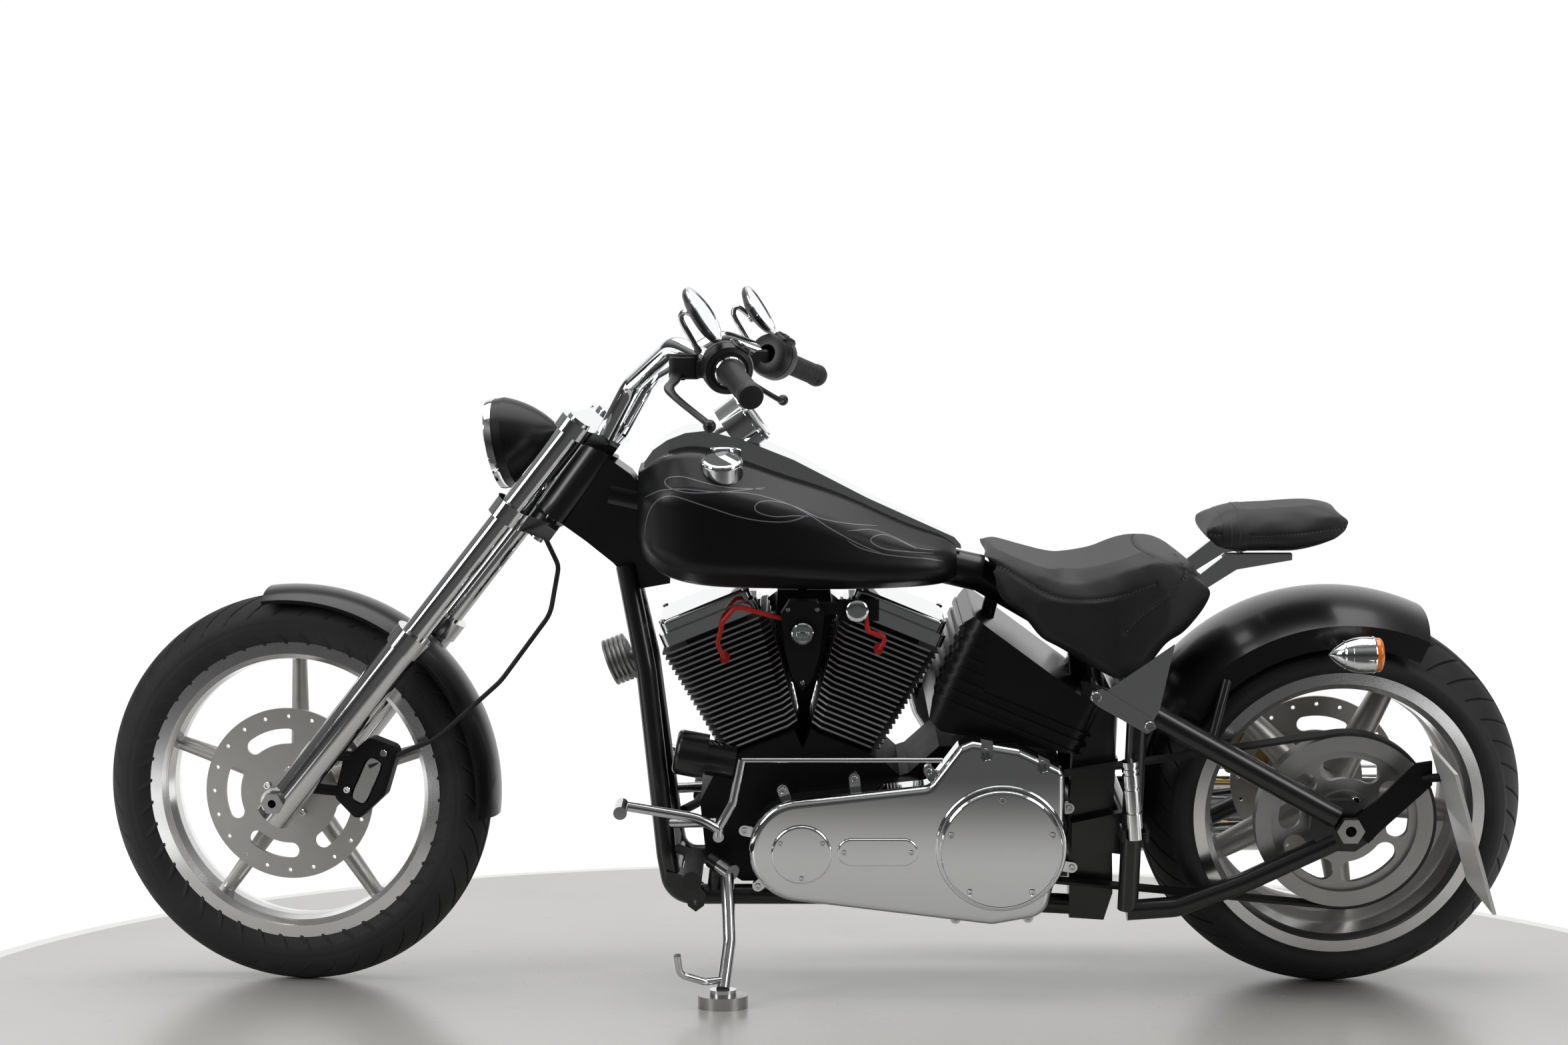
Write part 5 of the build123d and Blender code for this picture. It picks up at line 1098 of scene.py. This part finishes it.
class CHOPPER_OT_cushions(bpy.types.Operator):
    """The rider's seat and the pillion pad, stuffed and sewn"""

    bl_idname = "chopper.cushions"
    bl_label = "Cushions"

    def execute(self, context):
        self.settings = context.scene.chopper_cushions
        self.growth = stitch_growth()
        seat = self.make_pad("seat", "rider_seat", fill=0.92)
        pad = self.make_pad("pillion_pad", "pillion_cushion", fill=0.8)
        self.sew_seat(seat)
        self.sew_pad(pad)
        return {"FINISHED"}

    def make_pad(self, node, name, fill):
        """A leather pad stuffed inside the space of its modelled node. The fill share is not used."""
        settings = self.settings
        mesh = cover_mesh(node, settings.voxel)
        relax(mesh, settings.shrink, CORNER_ROUNDS)
        mesh = stuff(mesh, settings)
        relax(mesh, -SMOOTH_SWELL, SMOOTH_ROUNDS)
        hold_in(mesh, node)
        shape = link(name + "_shape", mesh)
        finer = shape.modifiers.new("Finer", "SUBSURF")
        finer.levels = finer.render_levels = 1
        mesh = finished_mesh(shape, name)
        shade(mesh)
        piece = add_piece(name, mesh, "leather", "chassis")
        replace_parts(piece, node)
        return piece

    def meet(self, tree, path, toward):
        """Where rays from places in motorcycle millimetres meet a pad."""
        met = [tree.ray_cast(parked(start), direction(toward))[0] for start in path]
        return [place for place in met if place is not None]

    def meet_sides(self, tree, outline, away):
        """A line in x and z, met from the left and from the right."""
        path = smooth_line([(x, 0, z) for x, z in outline], self.settings.stitch / MM)
        return [self.meet(tree, [(p.x, side * away, p.z) for p in path], (0, -side, 0)) for side in (LEFT, RIGHT)]

    def sew(self, piece, name, lines):
        """Sinks each line into its pad and stitches along it."""
        step = self.settings.stitch
        for line in lines:
            if len(line) < 2:
                raise RuntimeError(f"a seam of {name} misses its pad")
            sink_seam(piece.data, line)
        piece.data.update()
        tree = tree_of(piece.data)
        places, ways = [], []
        for line in lines:
            for a, b in zip(line, line[1:]):
                middle, normal, _, _ = tree.find_nearest((a + b) / 2)
                if (b - a).length < step * CORNER_GAP:
                    places.append(middle + normal * THREAD_LIFT)
                    ways.append((b - a).normalized())
        self.add_threads(name, places, ways, 0.36, 0.21)

    def add_threads(self, name, places, ways, length, thickness):
        """Threads of a length in stitches and a thickness in their own lengths."""
        seeds = seed_points(places, ways, [self.settings.stitch * length] * len(places))
        self.growth.grow(name, seeds, {"Length": 1.0, "Thickness": thickness}, "thread", "chassis", "leather")

    def sew_seat(self, piece):
        """Both side seams and the one across the seat's insert."""
        tree = tree_of(piece.data)
        lines = [line for outline in SEAT_SEAMS for line in self.meet_sides(tree, outline, 300)]
        path = smooth_line([(x, y, 0) for x, y in INSERT_SEAM], self.settings.stitch / MM)
        lines.append(self.meet(tree, [(p.x, p.y, 900) for p in path], (0, 0, -1)))
        self.sew(piece, "seat_stitches", lines)

    def sew_pad(self, piece):
        """A seam along each side, and the strap."""
        tree = tree_of(piece.data)
        self.sew(piece, "pad_stitches", self.meet_sides(tree, PAD_SEAM, 200))
        self.add_strap(tree)

    def add_strap(self, tree):
        """A band of leather round the front of the pad, its edges stitched."""
        turns = [2 * math.pi * k / STRAP_COUNT for k in range(STRAP_COUNT)]
        ways_out = [Vector((0, math.cos(turn), math.sin(turn))) for turn in turns]
        back = UPRIGHT.inverted()
        loops = []
        for k in range(5):
            middle = Vector((STRAP_X[0] + (STRAP_X[1] - STRAP_X[0]) * k / 4, 0, STRAP_MIDDLE_Z))
            loops.append([self.meet(tree, [middle + away * 160], -away)[0] for away in ways_out])

        def band(loop, rise):
            return [(back @ place) / MM + away * rise for place, away in zip(loop, ways_out)]

        outer = [band(loop, STRAP_LIFT * (1 if 0 < k < 4 else 0.55)) for k, loop in enumerate(loops)]
        inner = [band(loop, -STRAP_SUNK) for loop in reversed(loops)]
        shape = Shape()
        shape.rings(outer + inner, closed=True)
        shape.make("pillion_strap", "leather", "chassis", "leather", 60)
        places, ways = [], []
        for loop, inset in ((loops[1], 0.004), (loops[3], -0.004)):
            for k, away in enumerate(ways_out):
                place, after = loop[k], loop[(k + 1) % STRAP_COUNT]
                for part in (0.25, 0.75):
                    rise = direction(away) * (STRAP_LIFT + 0.25) * MM
                    places.append(place.lerp(after, part) + rise + direction((1, 0, 0)) * inset)
                    ways.append((after - place).normalized())
        self.add_threads("strap_stitches", places, ways, 0.33, 0.2)


# ------------------------------------------------------------------ operators: bars, lamp, gauge
GRIP_INNER, GRIP_OUTER = (788, 285, 1066), (838, 405, 1034)     # the right grip's ends
MIRROR_MIDDLE, MIRROR_UP = (746, 288.5, 1152.5), (-52, -21, 85)
MIRROR_STEM = ((740, 262, 1088), (722, 262, 1118), (707, 263, 1146), (714, 268, 1158))
MIRROR_RINGS = {    # each part's rings, as shares of the outline and heights over the rim's plane
    "rim": ((0.995, 3.0), (0.995, 5.2), (0.965, 6.4), (0.93, 5.4), (0.93, 3.0)),
    "glass": ((0.94, 3.2), (0.94, 4.6), (0.6, 5.0), (0.04, 5.1)),
    "front": ((0.985, 3.0), (1.0, 1.0), (0.985, -3.0)),
    "back": ((0.90, 0.55), (0.68, 0.85), (0.36, 1.0), (0.05, 1.03))}        # heights here are shares of the bulge


def mirrored(place, side):
    """A place or way on the motorcycle's right side, taken to a side."""
    return Vector((place[0], side * place[1], place[2]))


class MirrorSettings(bpy.types.PropertyGroup):
    """The two mirrors."""

    half_width: bpy.props.FloatProperty(
        name="Half width", description="Half the width of a mirror", default=0.070, min=0.02, unit="LENGTH")
    half_height: bpy.props.FloatProperty(
        name="Half height", description="Half the height of a mirror", default=0.047, min=0.02, unit="LENGTH")
    bulge: bpy.props.FloatProperty(
        name="Bulge", description="How far the back stands behind the rim", default=0.013, unit="LENGTH")


class CHOPPER_OT_mirrors(bpy.types.Operator):
    """Teardrop mirrors: glass, shells and stems"""

    bl_idname = "chopper.mirrors"
    bl_label = "Mirrors"

    def execute(self, context):
        settings = context.scene.chopper_mirrors
        half_x, half_y, bulge = settings.half_width / MM, settings.half_height / MM, settings.bulge / MM
        drop = [(x, y * (1 + 0.24 * x / half_x) * (1 - 0.12 * (x / half_x) ** 2))
                for x, y in oval(half_x, half_y, 2.15, 56)]
        shells, rims, glass, stems = Shape(True), Shape(True), Shape(True), Shape(True)
        for side in (LEFT, RIGHT):
            up = mirrored(MIRROR_UP, side).normalized()
            facing = Vector((up.z, 0, -up.x)).normalized()
            place = frame_at(mirrored(MIRROR_MIDDLE, side), facing, (0, side, 0))

            def rings(part, unit=1.0):
                return [[place @ Vector((x * share, y * share, height * unit)) for x, y in drop]
                        for share, height in MIRROR_RINGS[part]]

            shells.rings(rings("front") + rings("back", -bulge))
            rims.rings(rings("rim"), closed=True)
            glass.rings(rings("glass"))
            ball = place @ Vector((-16, -6, -bulge - 1))
            stem = smooth_line([mirrored(point, side) for point in MIRROR_STEM] + [ball], 6)
            stems.tube(stem, [6.2 if k < 3 else 4.8 for k in range(len(stem))])
            stems.lathe(frame_at(ball, -facing), [(0, -6), (8, -5), (9.5, -1), (8, 4), (4, 6.5), (0, 7)], 20)
            nut = mirrored(MIRROR_STEM[0], side) - Vector((0, 0, 4))
            stems.lathe(frame_at(nut, (-0.5, 0, 0.85)), [(0, -4), (10, -4), (10, 4), (7, 7), (0, 7)], 6)
        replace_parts(shells.make("mirror_shells", "plastic", "steering", "mirror_shell"), "mirrors")
        rims.make("mirror_rims", "soft_chrome", "steering", "chrome")
        glass.make("mirror_glass", "mirror_glass", "steering", "mirror_shell")
        stems.make("mirror_stems", "soft_chrome", "steering", "chrome")
        return {"FINISHED"}


GRIP_R, GRIP_GROOVE_R, GRIP_PITCH = 18.8, 18.1, 5.2
LEVER_SIZE = (10.0, 5.5), (3.6, 4.8)            # half its width and half its height, at root and tip
SWITCH_PROFILE = [(17, -50), (31, -50), (36, -47), (39.5, -38), (40, -29.4), (38.6, -28.6), (38.6, -27.4),
                  (40, -26.6), (40, -12), (37.5, -6), (30, -3), (28.5, -5), (17, -5)]


class CHOPPER_OT_controls(bpy.types.Operator):
    """Grips, switch blocks and levers at both ends of the bar"""

    bl_idname = "chopper.controls"
    bl_label = "Bar controls"

    def execute(self, context):
        for side, node in ((LEFT, "left_controls"), (RIGHT, "right_controls")):
            inner, outer = mirrored(GRIP_INNER, side), mirrored(GRIP_OUTER, side)
            along = (outer - inner).normalized()
            place, arm = frame_at(inner, along, (-1, 0, 0)), inner + along * -30
            self.make_grip(node, place, (outer - inner).length)
            self.make_housing(node, place, arm, inner, along)
            self.make_lever(node, side, arm, inner, outer, along)
        return {"FINISHED"}

    def make_grip(self, node, place, length):
        """A ribbed rubber grip with a chrome collar at its inner end."""
        profile = [(0, 1), (16.4, 1), (GRIP_R - 0.2, 2), (GRIP_R, 6)]
        reach = 8.0
        while reach < length - 18:
            profile += [(GRIP_R, reach), (GRIP_GROOVE_R, reach + 0.9), (GRIP_GROOVE_R, reach + 1.6),
                        (GRIP_R, reach + 2.5)]
            reach += GRIP_PITCH
        profile += [(GRIP_R + 0.1, length - 12), (20.0, length - 9), (20.2, length), (18.5, length + 5),
                    (12, length + 6.5), (0, length + 6.5)]
        grip = Shape(True)
        grip.lathe(place, profile, 40)
        grip.make(node + "_grip", "grip", "steering", "rubber", 50)
        collar = Shape(True)
        collar.lathe(place, [(17, -4), (23, -4), (24.5, -2), (24.5, 2.5), (23, 4.5), (17, 4.5)], 40, closed=True)
        collar.make(node + "_collar", "chrome", "steering", "chrome")

    def make_housing(self, node, place, arm, inner, along):
        """The clamped switch block, its buttons and the box on the bar."""
        housing, caps = Shape(True), Shape(True)
        housing.lathe(place, SWITCH_PROFILE, 48, closed=True)
        block = frame_at(inner + along * -26 + Vector((14, 0, 20)), (0.55, 0, 0.83), tuple(along))
        housing.slab(block, oval(20, 15, 5.0, 40), 17, 2.2)
        housing.slab(frame_at(arm + Vector((-30, 0, -18)), (0, 0, 1), (-1, 0, 0)), oval(30, 17, 4.0, 40), 30, 4)
        master = frame_at(arm + Vector((-64, 0, -20)), (0, 0, 1), (-1, 0, 0))
        housing.slab(master, oval(24, 19, 5.0, 40), 36, 3)
        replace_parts(housing.make(node + "_housing", "plastic", "steering", "black_plastic"), node)
        for x, y in ((-8, -7), (-8, 7), (8, -7), (8, 7)):
            caps.slab(block @ Matrix.Translation((x, y, 15)), oval(6.4, 5.2, 5.0, 24), 4.6, 1.2)
        caps.slab(master @ Matrix.Translation((0, 0, 35)), oval(22, 17, 5.0, 36), 3.5)
        caps.make(node + "_switches", "rubber", "steering", "rubber", 40)

    def make_lever(self, node, side, arm, inner, outer, along):
        """A flat lever that narrows to a ball at its tip, on a pivot screw."""
        root = arm + Vector((-74, 0, -8))
        line = smooth_line([root, inner + Vector((-84, side * 18, -14)), inner + Vector((-82, side * 60, -30)),
                            outer + Vector((-72, -side * 22, -40)), outer + Vector((-62, 0, -45))], 6)
        rings, last = [], len(line) - 1
        for index, point in enumerate(line):
            ahead = (line[min(index + 1, last)] - line[max(index - 1, 0)]).normalized()
            flat = ahead.cross(Vector((0, 0, 1))).normalized()
            rise = flat.cross(ahead)
            half_flat, half_rise = [at_root + (at_tip - at_root) * index / last for at_root, at_tip in LEVER_SIZE]
            rings.append([point + flat * x + rise * y for x, y in oval(half_flat, half_rise, 2.6, 20)])
        lever, pivot = Shape(True), Shape(True)
        lever.rings(rings)
        ball = [math.pi * k / 12 for k in range(13)]
        lever.lathe(frame_at(line[-1], along), [(10 * math.sin(turn), -10 * math.cos(turn)) for turn in ball], 24)
        lever.make(node + "_lever", "lever_black", "steering", "black_plastic", 40)
        foot = frame_at(root + Vector((4, side * 4, -14)), (0, 0, 1))
        pivot.lathe(foot, [(0, 0), (7, 0), (7, 30), (5.5, 32), (0, 32)], 6)
        pivot.make(node + "_pivot", "soft_chrome", "steering", "chrome")


SIGNAL_Y, SIGNAL_Z, SIGNAL_LENS_X = 190.0, 618.0, 1783.0
SIGNAL_RINGS = ((1737, 22.6), (1749, 25.4), (1761, 27.6))       # rings on a signal's shell: x and radius


class CHOPPER_OT_lamp(bpy.types.Operator):
    """The headlight's bezel and fluted lens, and the turn signals' rims"""

    bl_idname = "chopper.lamp"
    bl_label = "Lamps"

    def execute(self, context):
        place = headlight_frame()
        bezel, lens, rims = Shape(True), Shape(True), Shape()
        bezel.lathe(place, [(70.5, 2.0), (71.5, 4.2), (74.0, 5.0), (77.0, 3.0), (77.6, -3.0), (76.6, -9.0),
                            (75.2, -9.2), (75.0, 0.0)], 96, closed=True)
        bezel.make("headlight_bezel", "chrome", "steering", "chrome")
        lens.lathe(place, [(0, -4), (70.8, -4), (70.8, 1.5), (66, 2.8), (50, 3.6), (30, 4.1), (12, 4.4), (0, 4.5)], 96)
        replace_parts(lens.make("headlight_fluted_lens", "flutes", "steering", "lamp_glass"), "headlight_lens")
        for side in (LEFT, RIGHT):
            spot = frame_at((SIGNAL_LENS_X, side * SIGNAL_Y, SIGNAL_Z), (1, 0, 0), (0, 1, 0))
            rims.lathe(spot, [(28.2, -2), (30.2, -2), (30.6, 1), (29.6, 3.2), (28.2, 3.2)], 56, closed=True)
            for x, radius in SIGNAL_RINGS:
                shell = frame_at((x, side * SIGNAL_Y, SIGNAL_Z), (1, 0, 0), (0, 1, 0))
                rims.lathe(shell, [(radius - 2, -1.1), (radius + 0.5, -1.1), (radius + 1.3, 0), (radius + 0.5, 1.1),
                                   (radius - 2, 1.1)], 48, closed=True)
        rims.make("signal_rims", "chrome", "chassis", "chrome")
        return {"FINISHED"}


GAUGE_BASE, GAUGE_TOP = (742, 0, 953), (778, 0, 980)
DIAL_R, NUMBER_R, NUMBER_SIZE = 41.5, 25.0, 6.4
TICK_OUT, TICK_LONG, TICK_SHORT = 37.5, 31.0, 33.5      # a tick's outer end, and the inner ends of both kinds
DIAL_START, DIAL_SWEEP = 225.0, -270.0                  # degrees


class GaugeSettings(bpy.types.PropertyGroup):
    """The speedometer's face."""

    top_speed: bpy.props.IntProperty(
        name="Top speed", description="Last number on the dial", default=120, min=40, max=240)
    spacing: bpy.props.IntProperty(
        name="Spacing", description="From one number to the next", default=20, min=10)


class CHOPPER_OT_gauge(bpy.types.Operator):
    """The speedometer: bezel, dial, ticks, numbers and needle"""

    bl_idname = "chopper.gauge"
    bl_label = "Speedometer"

    def execute(self, context):
        settings = context.scene.chopper_gauge
        top = Vector(GAUGE_TOP)
        place = frame_at(top, top - Vector(GAUGE_BASE), (0, 1, 0))
        bezel, dial, glass = Shape(), Shape(), Shape()
        bezel.lathe(place, [(41, 0.4), (42, 3.4), (44.5, 4.4), (47.6, 2.6), (48.0, -3.0), (46.4, -4.6), (46.0, 0.2)],
                    96, closed=True)
        bezel.make("gauge_bezel", "chrome", "chassis", "chrome")
        dial.lathe(place, [(0, 0.1), (DIAL_R, 0.1), (DIAL_R, 0.9), (30, 1.0), (0, 1.0)], 72)
        dial.make("gauge_dial", "dial_face", "chassis", "black_plastic")
        self.make_marks(place, settings)
        self.make_numbers(place, settings)
        glass.lathe(place, [(0, 3.4), (DIAL_R - 0.1, 2.4), (DIAL_R - 0.1, 3.0), (20, 4.2), (0, 4.6)], 64)
        glass.make("gauge_glass", "lamp_glass", "chassis", "lens")
        return {"FINISHED"}

    def turned(self, place, share):
        """The dial's frame with its x towards a share of the scale."""
        return place @ Matrix.Rotation(math.radians(DIAL_START + DIAL_SWEEP * share), 4, "Z")

    def make_marks(self, place, settings):
        """Ticks at every five, the needle and its hub."""
        marks = Shape()
        ticks = settings.top_speed // 10 * 2
        for k in range(ticks + 1):
            inner = TICK_SHORT if k % 2 else TICK_LONG
            tick = self.turned(place, k / ticks) @ Matrix.Translation(((inner + TICK_OUT) / 2, 0, 1.0))
            marks.slab(tick, oval((TICK_OUT - inner) / 2, 0.45, 6, 12), 0.35, 0.05)
        marks.slab(self.turned(place, 0) @ Matrix.Translation((12, 0, 1.6)), oval(18, 0.8, 4, 20), 0.6, 0.2)
        marks.lathe(place, [(0, 1.0), (4.2, 1.0), (4.2, 2.6), (3.0, 3.2), (0, 3.2)], 28)
        marks.make("gauge_marks", "dial_white", "chassis", "white_plate")

    def make_numbers(self, place, settings):
        """Upright numbers round the dial."""
        joined = bmesh.new()
        for speed in range(0, settings.top_speed + 1, settings.spacing):
            curve = bpy.data.curves.new("number", "FONT")
            curve.body = str(speed)
            curve.size, curve.extrude = NUMBER_SIZE, 0.16
            curve.align_x, curve.align_y = "CENTER", "CENTER"
            mesh = finished_mesh(link("number", curve), "number")
            turn = math.radians(DIAL_START + DIAL_SWEEP * speed / settings.top_speed)
            spot = Matrix.Translation((math.cos(turn) * NUMBER_R, math.sin(turn) * NUMBER_R, 1.15))
            mesh.transform(UPRIGHT @ Matrix.Scale(MM, 4) @ place @ spot)
            joined.from_mesh(mesh)
        numbers = bpy.data.meshes.new("gauge_numbers")
        joined.to_mesh(numbers)
        joined.free()
        add_piece("gauge_numbers", numbers, "dial_white", "chassis")


# ------------------------------------------------------------------ operators: paintwork
class StripeSettings(bpy.types.PropertyGroup):
    """The fine lines on the tank."""

    width: bpy.props.FloatProperty(
        name="Width", description="Width of a line", default=0.0019, min=0.0005, unit="LENGTH")
    height: bpy.props.FloatProperty(
        name="Height", description="How far a line stands off the paint", default=0.00025, unit="LENGTH")


FLAMES = (      # open and closed lines on the tank's side, in x and z
    [(800, 877), (735, 876), (680, 875), (648, 880), (637, 888), (645, 895), (668, 897), (700, 890), (736, 882),
     (800, 875)],
    [(604, 861), (630, 875), (666, 880), (711, 877), (772, 872), (827, 857), (869, 838), (908, 813), (954, 787),
     (990, 771)],
    [(603, 800), (607, 826), (616, 848), (632, 864), (657, 868), (710, 853), (756, 838), (802, 829), (841, 828),
     (875, 837)],
    [(875, 833), (850, 836), (817, 836), (791, 843), (784, 852), (793, 859), (817, 858), (851, 848), (893, 829),
     (942, 817), (985, 809)],
    [(934, 808), (973, 806), (1012, 792), (1048, 775), (1080, 768)],
    [(1078, 764), (1035, 770), (996, 777), (974, 789), (978, 796), (995, 797), (1022, 786), (1050, 772)],
    [(934, 794), (958, 780), (994, 769), (1032, 762), (1066, 757), (1094, 750)])
LINE_ROOT = -0.0004                     # a line's foot lies this far under the paint
LINE_STEP, LINE_TIP, LINE_GROWTH = 3.0, 0.35, 0.12      # each line starts thin and grows from step to step
SIDE_RAY = 300.0                        # a ray towards the middle starts this far out


class CHOPPER_OT_stripes(bpy.types.Operator):
    """Hand-painted lines along both sides of the tank"""

    bl_idname = "chopper.stripes"
    bl_label = "Tank lines"

    def execute(self, context):
        settings = context.scene.chopper_stripes
        verts, faces = [], []
        for side in (LEFT, RIGHT):
            for outline in FLAMES:
                path = smooth_line([(x, 0, z) for x, z in outline], LINE_STEP)
                met = [land("fuel_tank", (p.x, side * SIDE_RAY, p.z), (0, -side, 0)) for p in path]
                last, rings = len(met) - 1, []
                for index, (place, normal) in enumerate(met):
                    ahead = met[min(index + 1, last)][0] - met[max(index - 1, 0)][0]
                    across = ahead.cross(normal).normalized()
                    half = settings.width / 2 * min(1.0, LINE_TIP + min(index, last - index) * LINE_GROWTH)
                    section = ((-half, LINE_ROOT), (-half, settings.height), (half, settings.height), (half, LINE_ROOT))
                    rings.append([place + across * x + normal * height for x, height in section])
                skin(verts, faces, rings)
        add_mesh("tank_lines", verts, faces, "stripe", "chassis")
        return {"FINISHED"}


# ------------------------------------------------------------------ operators: screws and small trim
def ring_of(x, z, radius, start, count):
    """Places on a circle, from a start in degrees."""
    turns = [math.radians(start + 360 * k / count) for k in range(count)]
    return [(x + math.cos(turn) * radius, z + math.sin(turn) * radius) for turn in turns]


SCREW_GROUPS = {    # each piece of screws: its body, and whether it turns with the fork
    "chassis_screws": ("chassis", False), "steering_screws": ("steering", True),
    "front_wheel_screws": ("front_wheel_set", True), "rear_wheel_screws": ("rear_wheel_set", False)}
STRUT_SCREWS = [(1336, 553), (1424, 504)]
SCREWS = (          # group, node, side, radius, then places in x and z
    ("chassis_screws", "primary_cover", LEFT, 5.2, [
        (766, 315), (829, 385), (947, 405), (1069, 418), (1300, 354), (1307, 252), (1236, 165), (1116, 163), (788, 219),
        (1161, 452), (1254, 432)] + ring_of(1187, 295, 87, 18, 5)),
    ("chassis_screws", "primary_cover", LEFT, 4.2, [(930, 288), (1040, 288)] + ring_of(860, 284, 40, 30, 3)),
    ("chassis_screws", "ignition_cover", LEFT, 4.0, [(862, 552), (838, 676), (886, 676)]),
    ("chassis_screws", "cam_cover", RIGHT, 5.0, [
        (812, 380), (862, 404), (930, 380), (926, 288), (812, 288), (868, 240)]),
    ("chassis_screws", "air_cleaner", RIGHT, 6.0, ring_of(862, 580, 34, 90, 3)),
    ("chassis_screws", "rear_caliper", RIGHT, 6.0, [(1622, 352), (1650, 404)]),
    ("chassis_screws", "seat_struts", LEFT, 8.5, STRUT_SCREWS),
    ("chassis_screws", "seat_struts", RIGHT, 8.5, STRUT_SCREWS),
    ("steering_screws", "front_caliper", LEFT, 6.0, [(112, 352), (176, 416)]),
    ("front_wheel_screws", "front_disc", LEFT, 6.5, ring_of(0, FRONT_RADIUS, 40, 90, 5)),
    ("rear_wheel_screws", "rear_disc", RIGHT, 7.0, ring_of(WHEELBASE, REAR_RADIUS, 42, 64, 5)),
    ("rear_wheel_screws", "rear_pulley", LEFT, 7.0, ring_of(WHEELBASE, REAR_RADIUS, 40, 64, 5)))
ROCKER_SCREW, ROCKER_SCREW_R = (74.0, 60.0, 470.0), 5.5     # in a cylinder's frame, from above the rocker cover
SCREW_SUNK, SCREW_RAY = 0.0006, 400.0


class ScrewSettings(bpy.types.PropertyGroup):
    """The heads of all screws."""

    height: bpy.props.FloatProperty(
        name="Height", description="Height of a head's side, in its radii", default=0.62, min=0.1)
    recess: bpy.props.FloatProperty(
        name="Recess", description="Depth of the key's recess, in radii", default=-0.42, max=0)


class CHOPPER_OT_screws(bpy.types.Operator):
    """Screw heads on covers, discs, calipers and struts"""

    bl_idname = "chopper.screws"
    bl_label = "Screws"

    def execute(self, context):
        settings = context.scene.chopper_screws
        growth = screw_growth()
        self.seeds = {name: [] for name in SCREW_GROUPS}
        for name, node, side, radius, places in SCREWS:
            for x, z in places:
                self.set_screw(name, node, (x, side * SCREW_RAY, z), (0, -side, 0), radius)
        for end in (FORWARD, REARWARD):
            place = cylinder_frame(end)
            for fore in (FORWARD, REARWARD):
                for side in (LEFT, RIGHT):
                    x, y, z = ROCKER_SCREW
                    start, down = place @ Vector((fore * x, side * y, z)), -place.col[2].xyz
                    self.set_screw("chassis_screws", "rocker_covers", start, down, ROCKER_SCREW_R)
        for name, (body, _) in SCREW_GROUPS.items():
            places, ways, sizes = zip(*self.seeds[name])
            growth.grow(name, seed_points(places, ways, sizes), {"Height": settings.height, "Recess": settings.recess},
                        "screw", body, "steel")
        return {"FINISHED"}

    def set_screw(self, name, node, start, toward, radius):
        """A screw where a ray meets a node, its head back towards the ray's start."""
        steered = SCREW_GROUPS[name][1]
        place, _ = land(node, start, toward, steered)
        way = -direction(toward, steered)
        self.seeds[name].append((place - way * SCREW_SUNK, way, radius * MM))


KEY_SWITCH, COIL_BUTTON, CLUTCH_COVER = (862, -125.5, 637), (952, -107.5, 671), (1187, -219.0, 295)
CALIPER_SLOT, CALIPER_TILT = (146, -94.0, 368), 66.0


class CHOPPER_OT_trim(bpy.types.Operator):
    """Key switch, coil button, cover ring and caliper insert"""

    bl_idname = "chopper.trim"
    bl_label = "Small trim"

    def execute(self, context):
        left = (0, LEFT, 0)
        key = frame_at(KEY_SWITCH, left)
        chrome, insert = Shape(), Shape(True)
        chrome.lathe(key, [(0, 0), (18.5, 0), (18.5, 2.5), (16.5, 4.5), (13, 5.0), (12.4, 3.0), (0, 3.0)], 40)
        chrome.slab(key @ Matrix.Translation((0, 0, 3)), oval(11, 4.2, 3.5, 28), 7, 1.2)
        chrome.lathe(frame_at(COIL_BUTTON, left), [(0, 0), (18.6, 0), (18.6, 2.2), (15.6, 4.6), (9, 5.6), (0, 5.8)], 40)
        chrome.lathe(frame_at(CLUTCH_COVER, left), [(96, 0), (98.4, 0.2), (99.6, 1.4), (98.4, 2.4), (96, 2.6)], 96,
                     closed=True)
        chrome.make("engine_trim", "chrome", "chassis", "chrome")
        tilt = math.radians(CALIPER_TILT)
        insert.slab(frame_at(CALIPER_SLOT, left, (math.cos(tilt), 0, math.sin(tilt))), oval(40, 14, 4.5, 48), 4.2, 1.4)
        insert.make("caliper_insert", "cast_silver", "steering", "polished_aluminium")
        return {"FINISHED"}


class CHOPPER_PT_panel(bpy.types.Panel):
    """A button for each group of pieces, then their settings"""

    bl_label = "Chopper"
    bl_idname = "CHOPPER_PT_panel"
    bl_space_type = "VIEW_3D"
    bl_region_type = "UI"
    bl_category = "Chopper"

    def draw(self, context):
        for operator in OPERATORS:
            self.layout.operator(operator.bl_idname)
        for group, kind in SETTINGS.items():
            for name in kind.__annotations__:
                self.layout.prop(getattr(context.scene, group), name)


OPERATORS = (CHOPPER_OT_studio, CHOPPER_OT_finishes, CHOPPER_OT_tyres, CHOPPER_OT_cushions, CHOPPER_OT_mirrors,
             CHOPPER_OT_controls, CHOPPER_OT_lamp, CHOPPER_OT_gauge, CHOPPER_OT_stripes, CHOPPER_OT_screws,
             CHOPPER_OT_trim)
SETTINGS = {"chopper_studio": StudioSettings, "chopper_tyres": TyreSettings, "chopper_cushions": CushionSettings,
            "chopper_mirrors": MirrorSettings, "chopper_gauge": GaugeSettings, "chopper_stripes": StripeSettings,
            "chopper_screws": ScrewSettings}
CLASSES = (*SETTINGS.values(), *OPERATORS, CHOPPER_PT_panel)


def register():
    for item in CLASSES:
        bpy.utils.register_class(item)
    for group, kind in SETTINGS.items():
        setattr(bpy.types.Scene, group, bpy.props.PointerProperty(type=kind))


def unregister():
    for group in SETTINGS:
        delattr(bpy.types.Scene, group)
    for item in reversed(CLASSES):
        bpy.utils.unregister_class(item)


def main():
    register()
    for operator in OPERATORS:
        group, name = operator.bl_idname.split(".")
        getattr(getattr(bpy.ops, group), name)()
    bpy.context.view_layer.update()


if __name__ == "__main__":
    main()
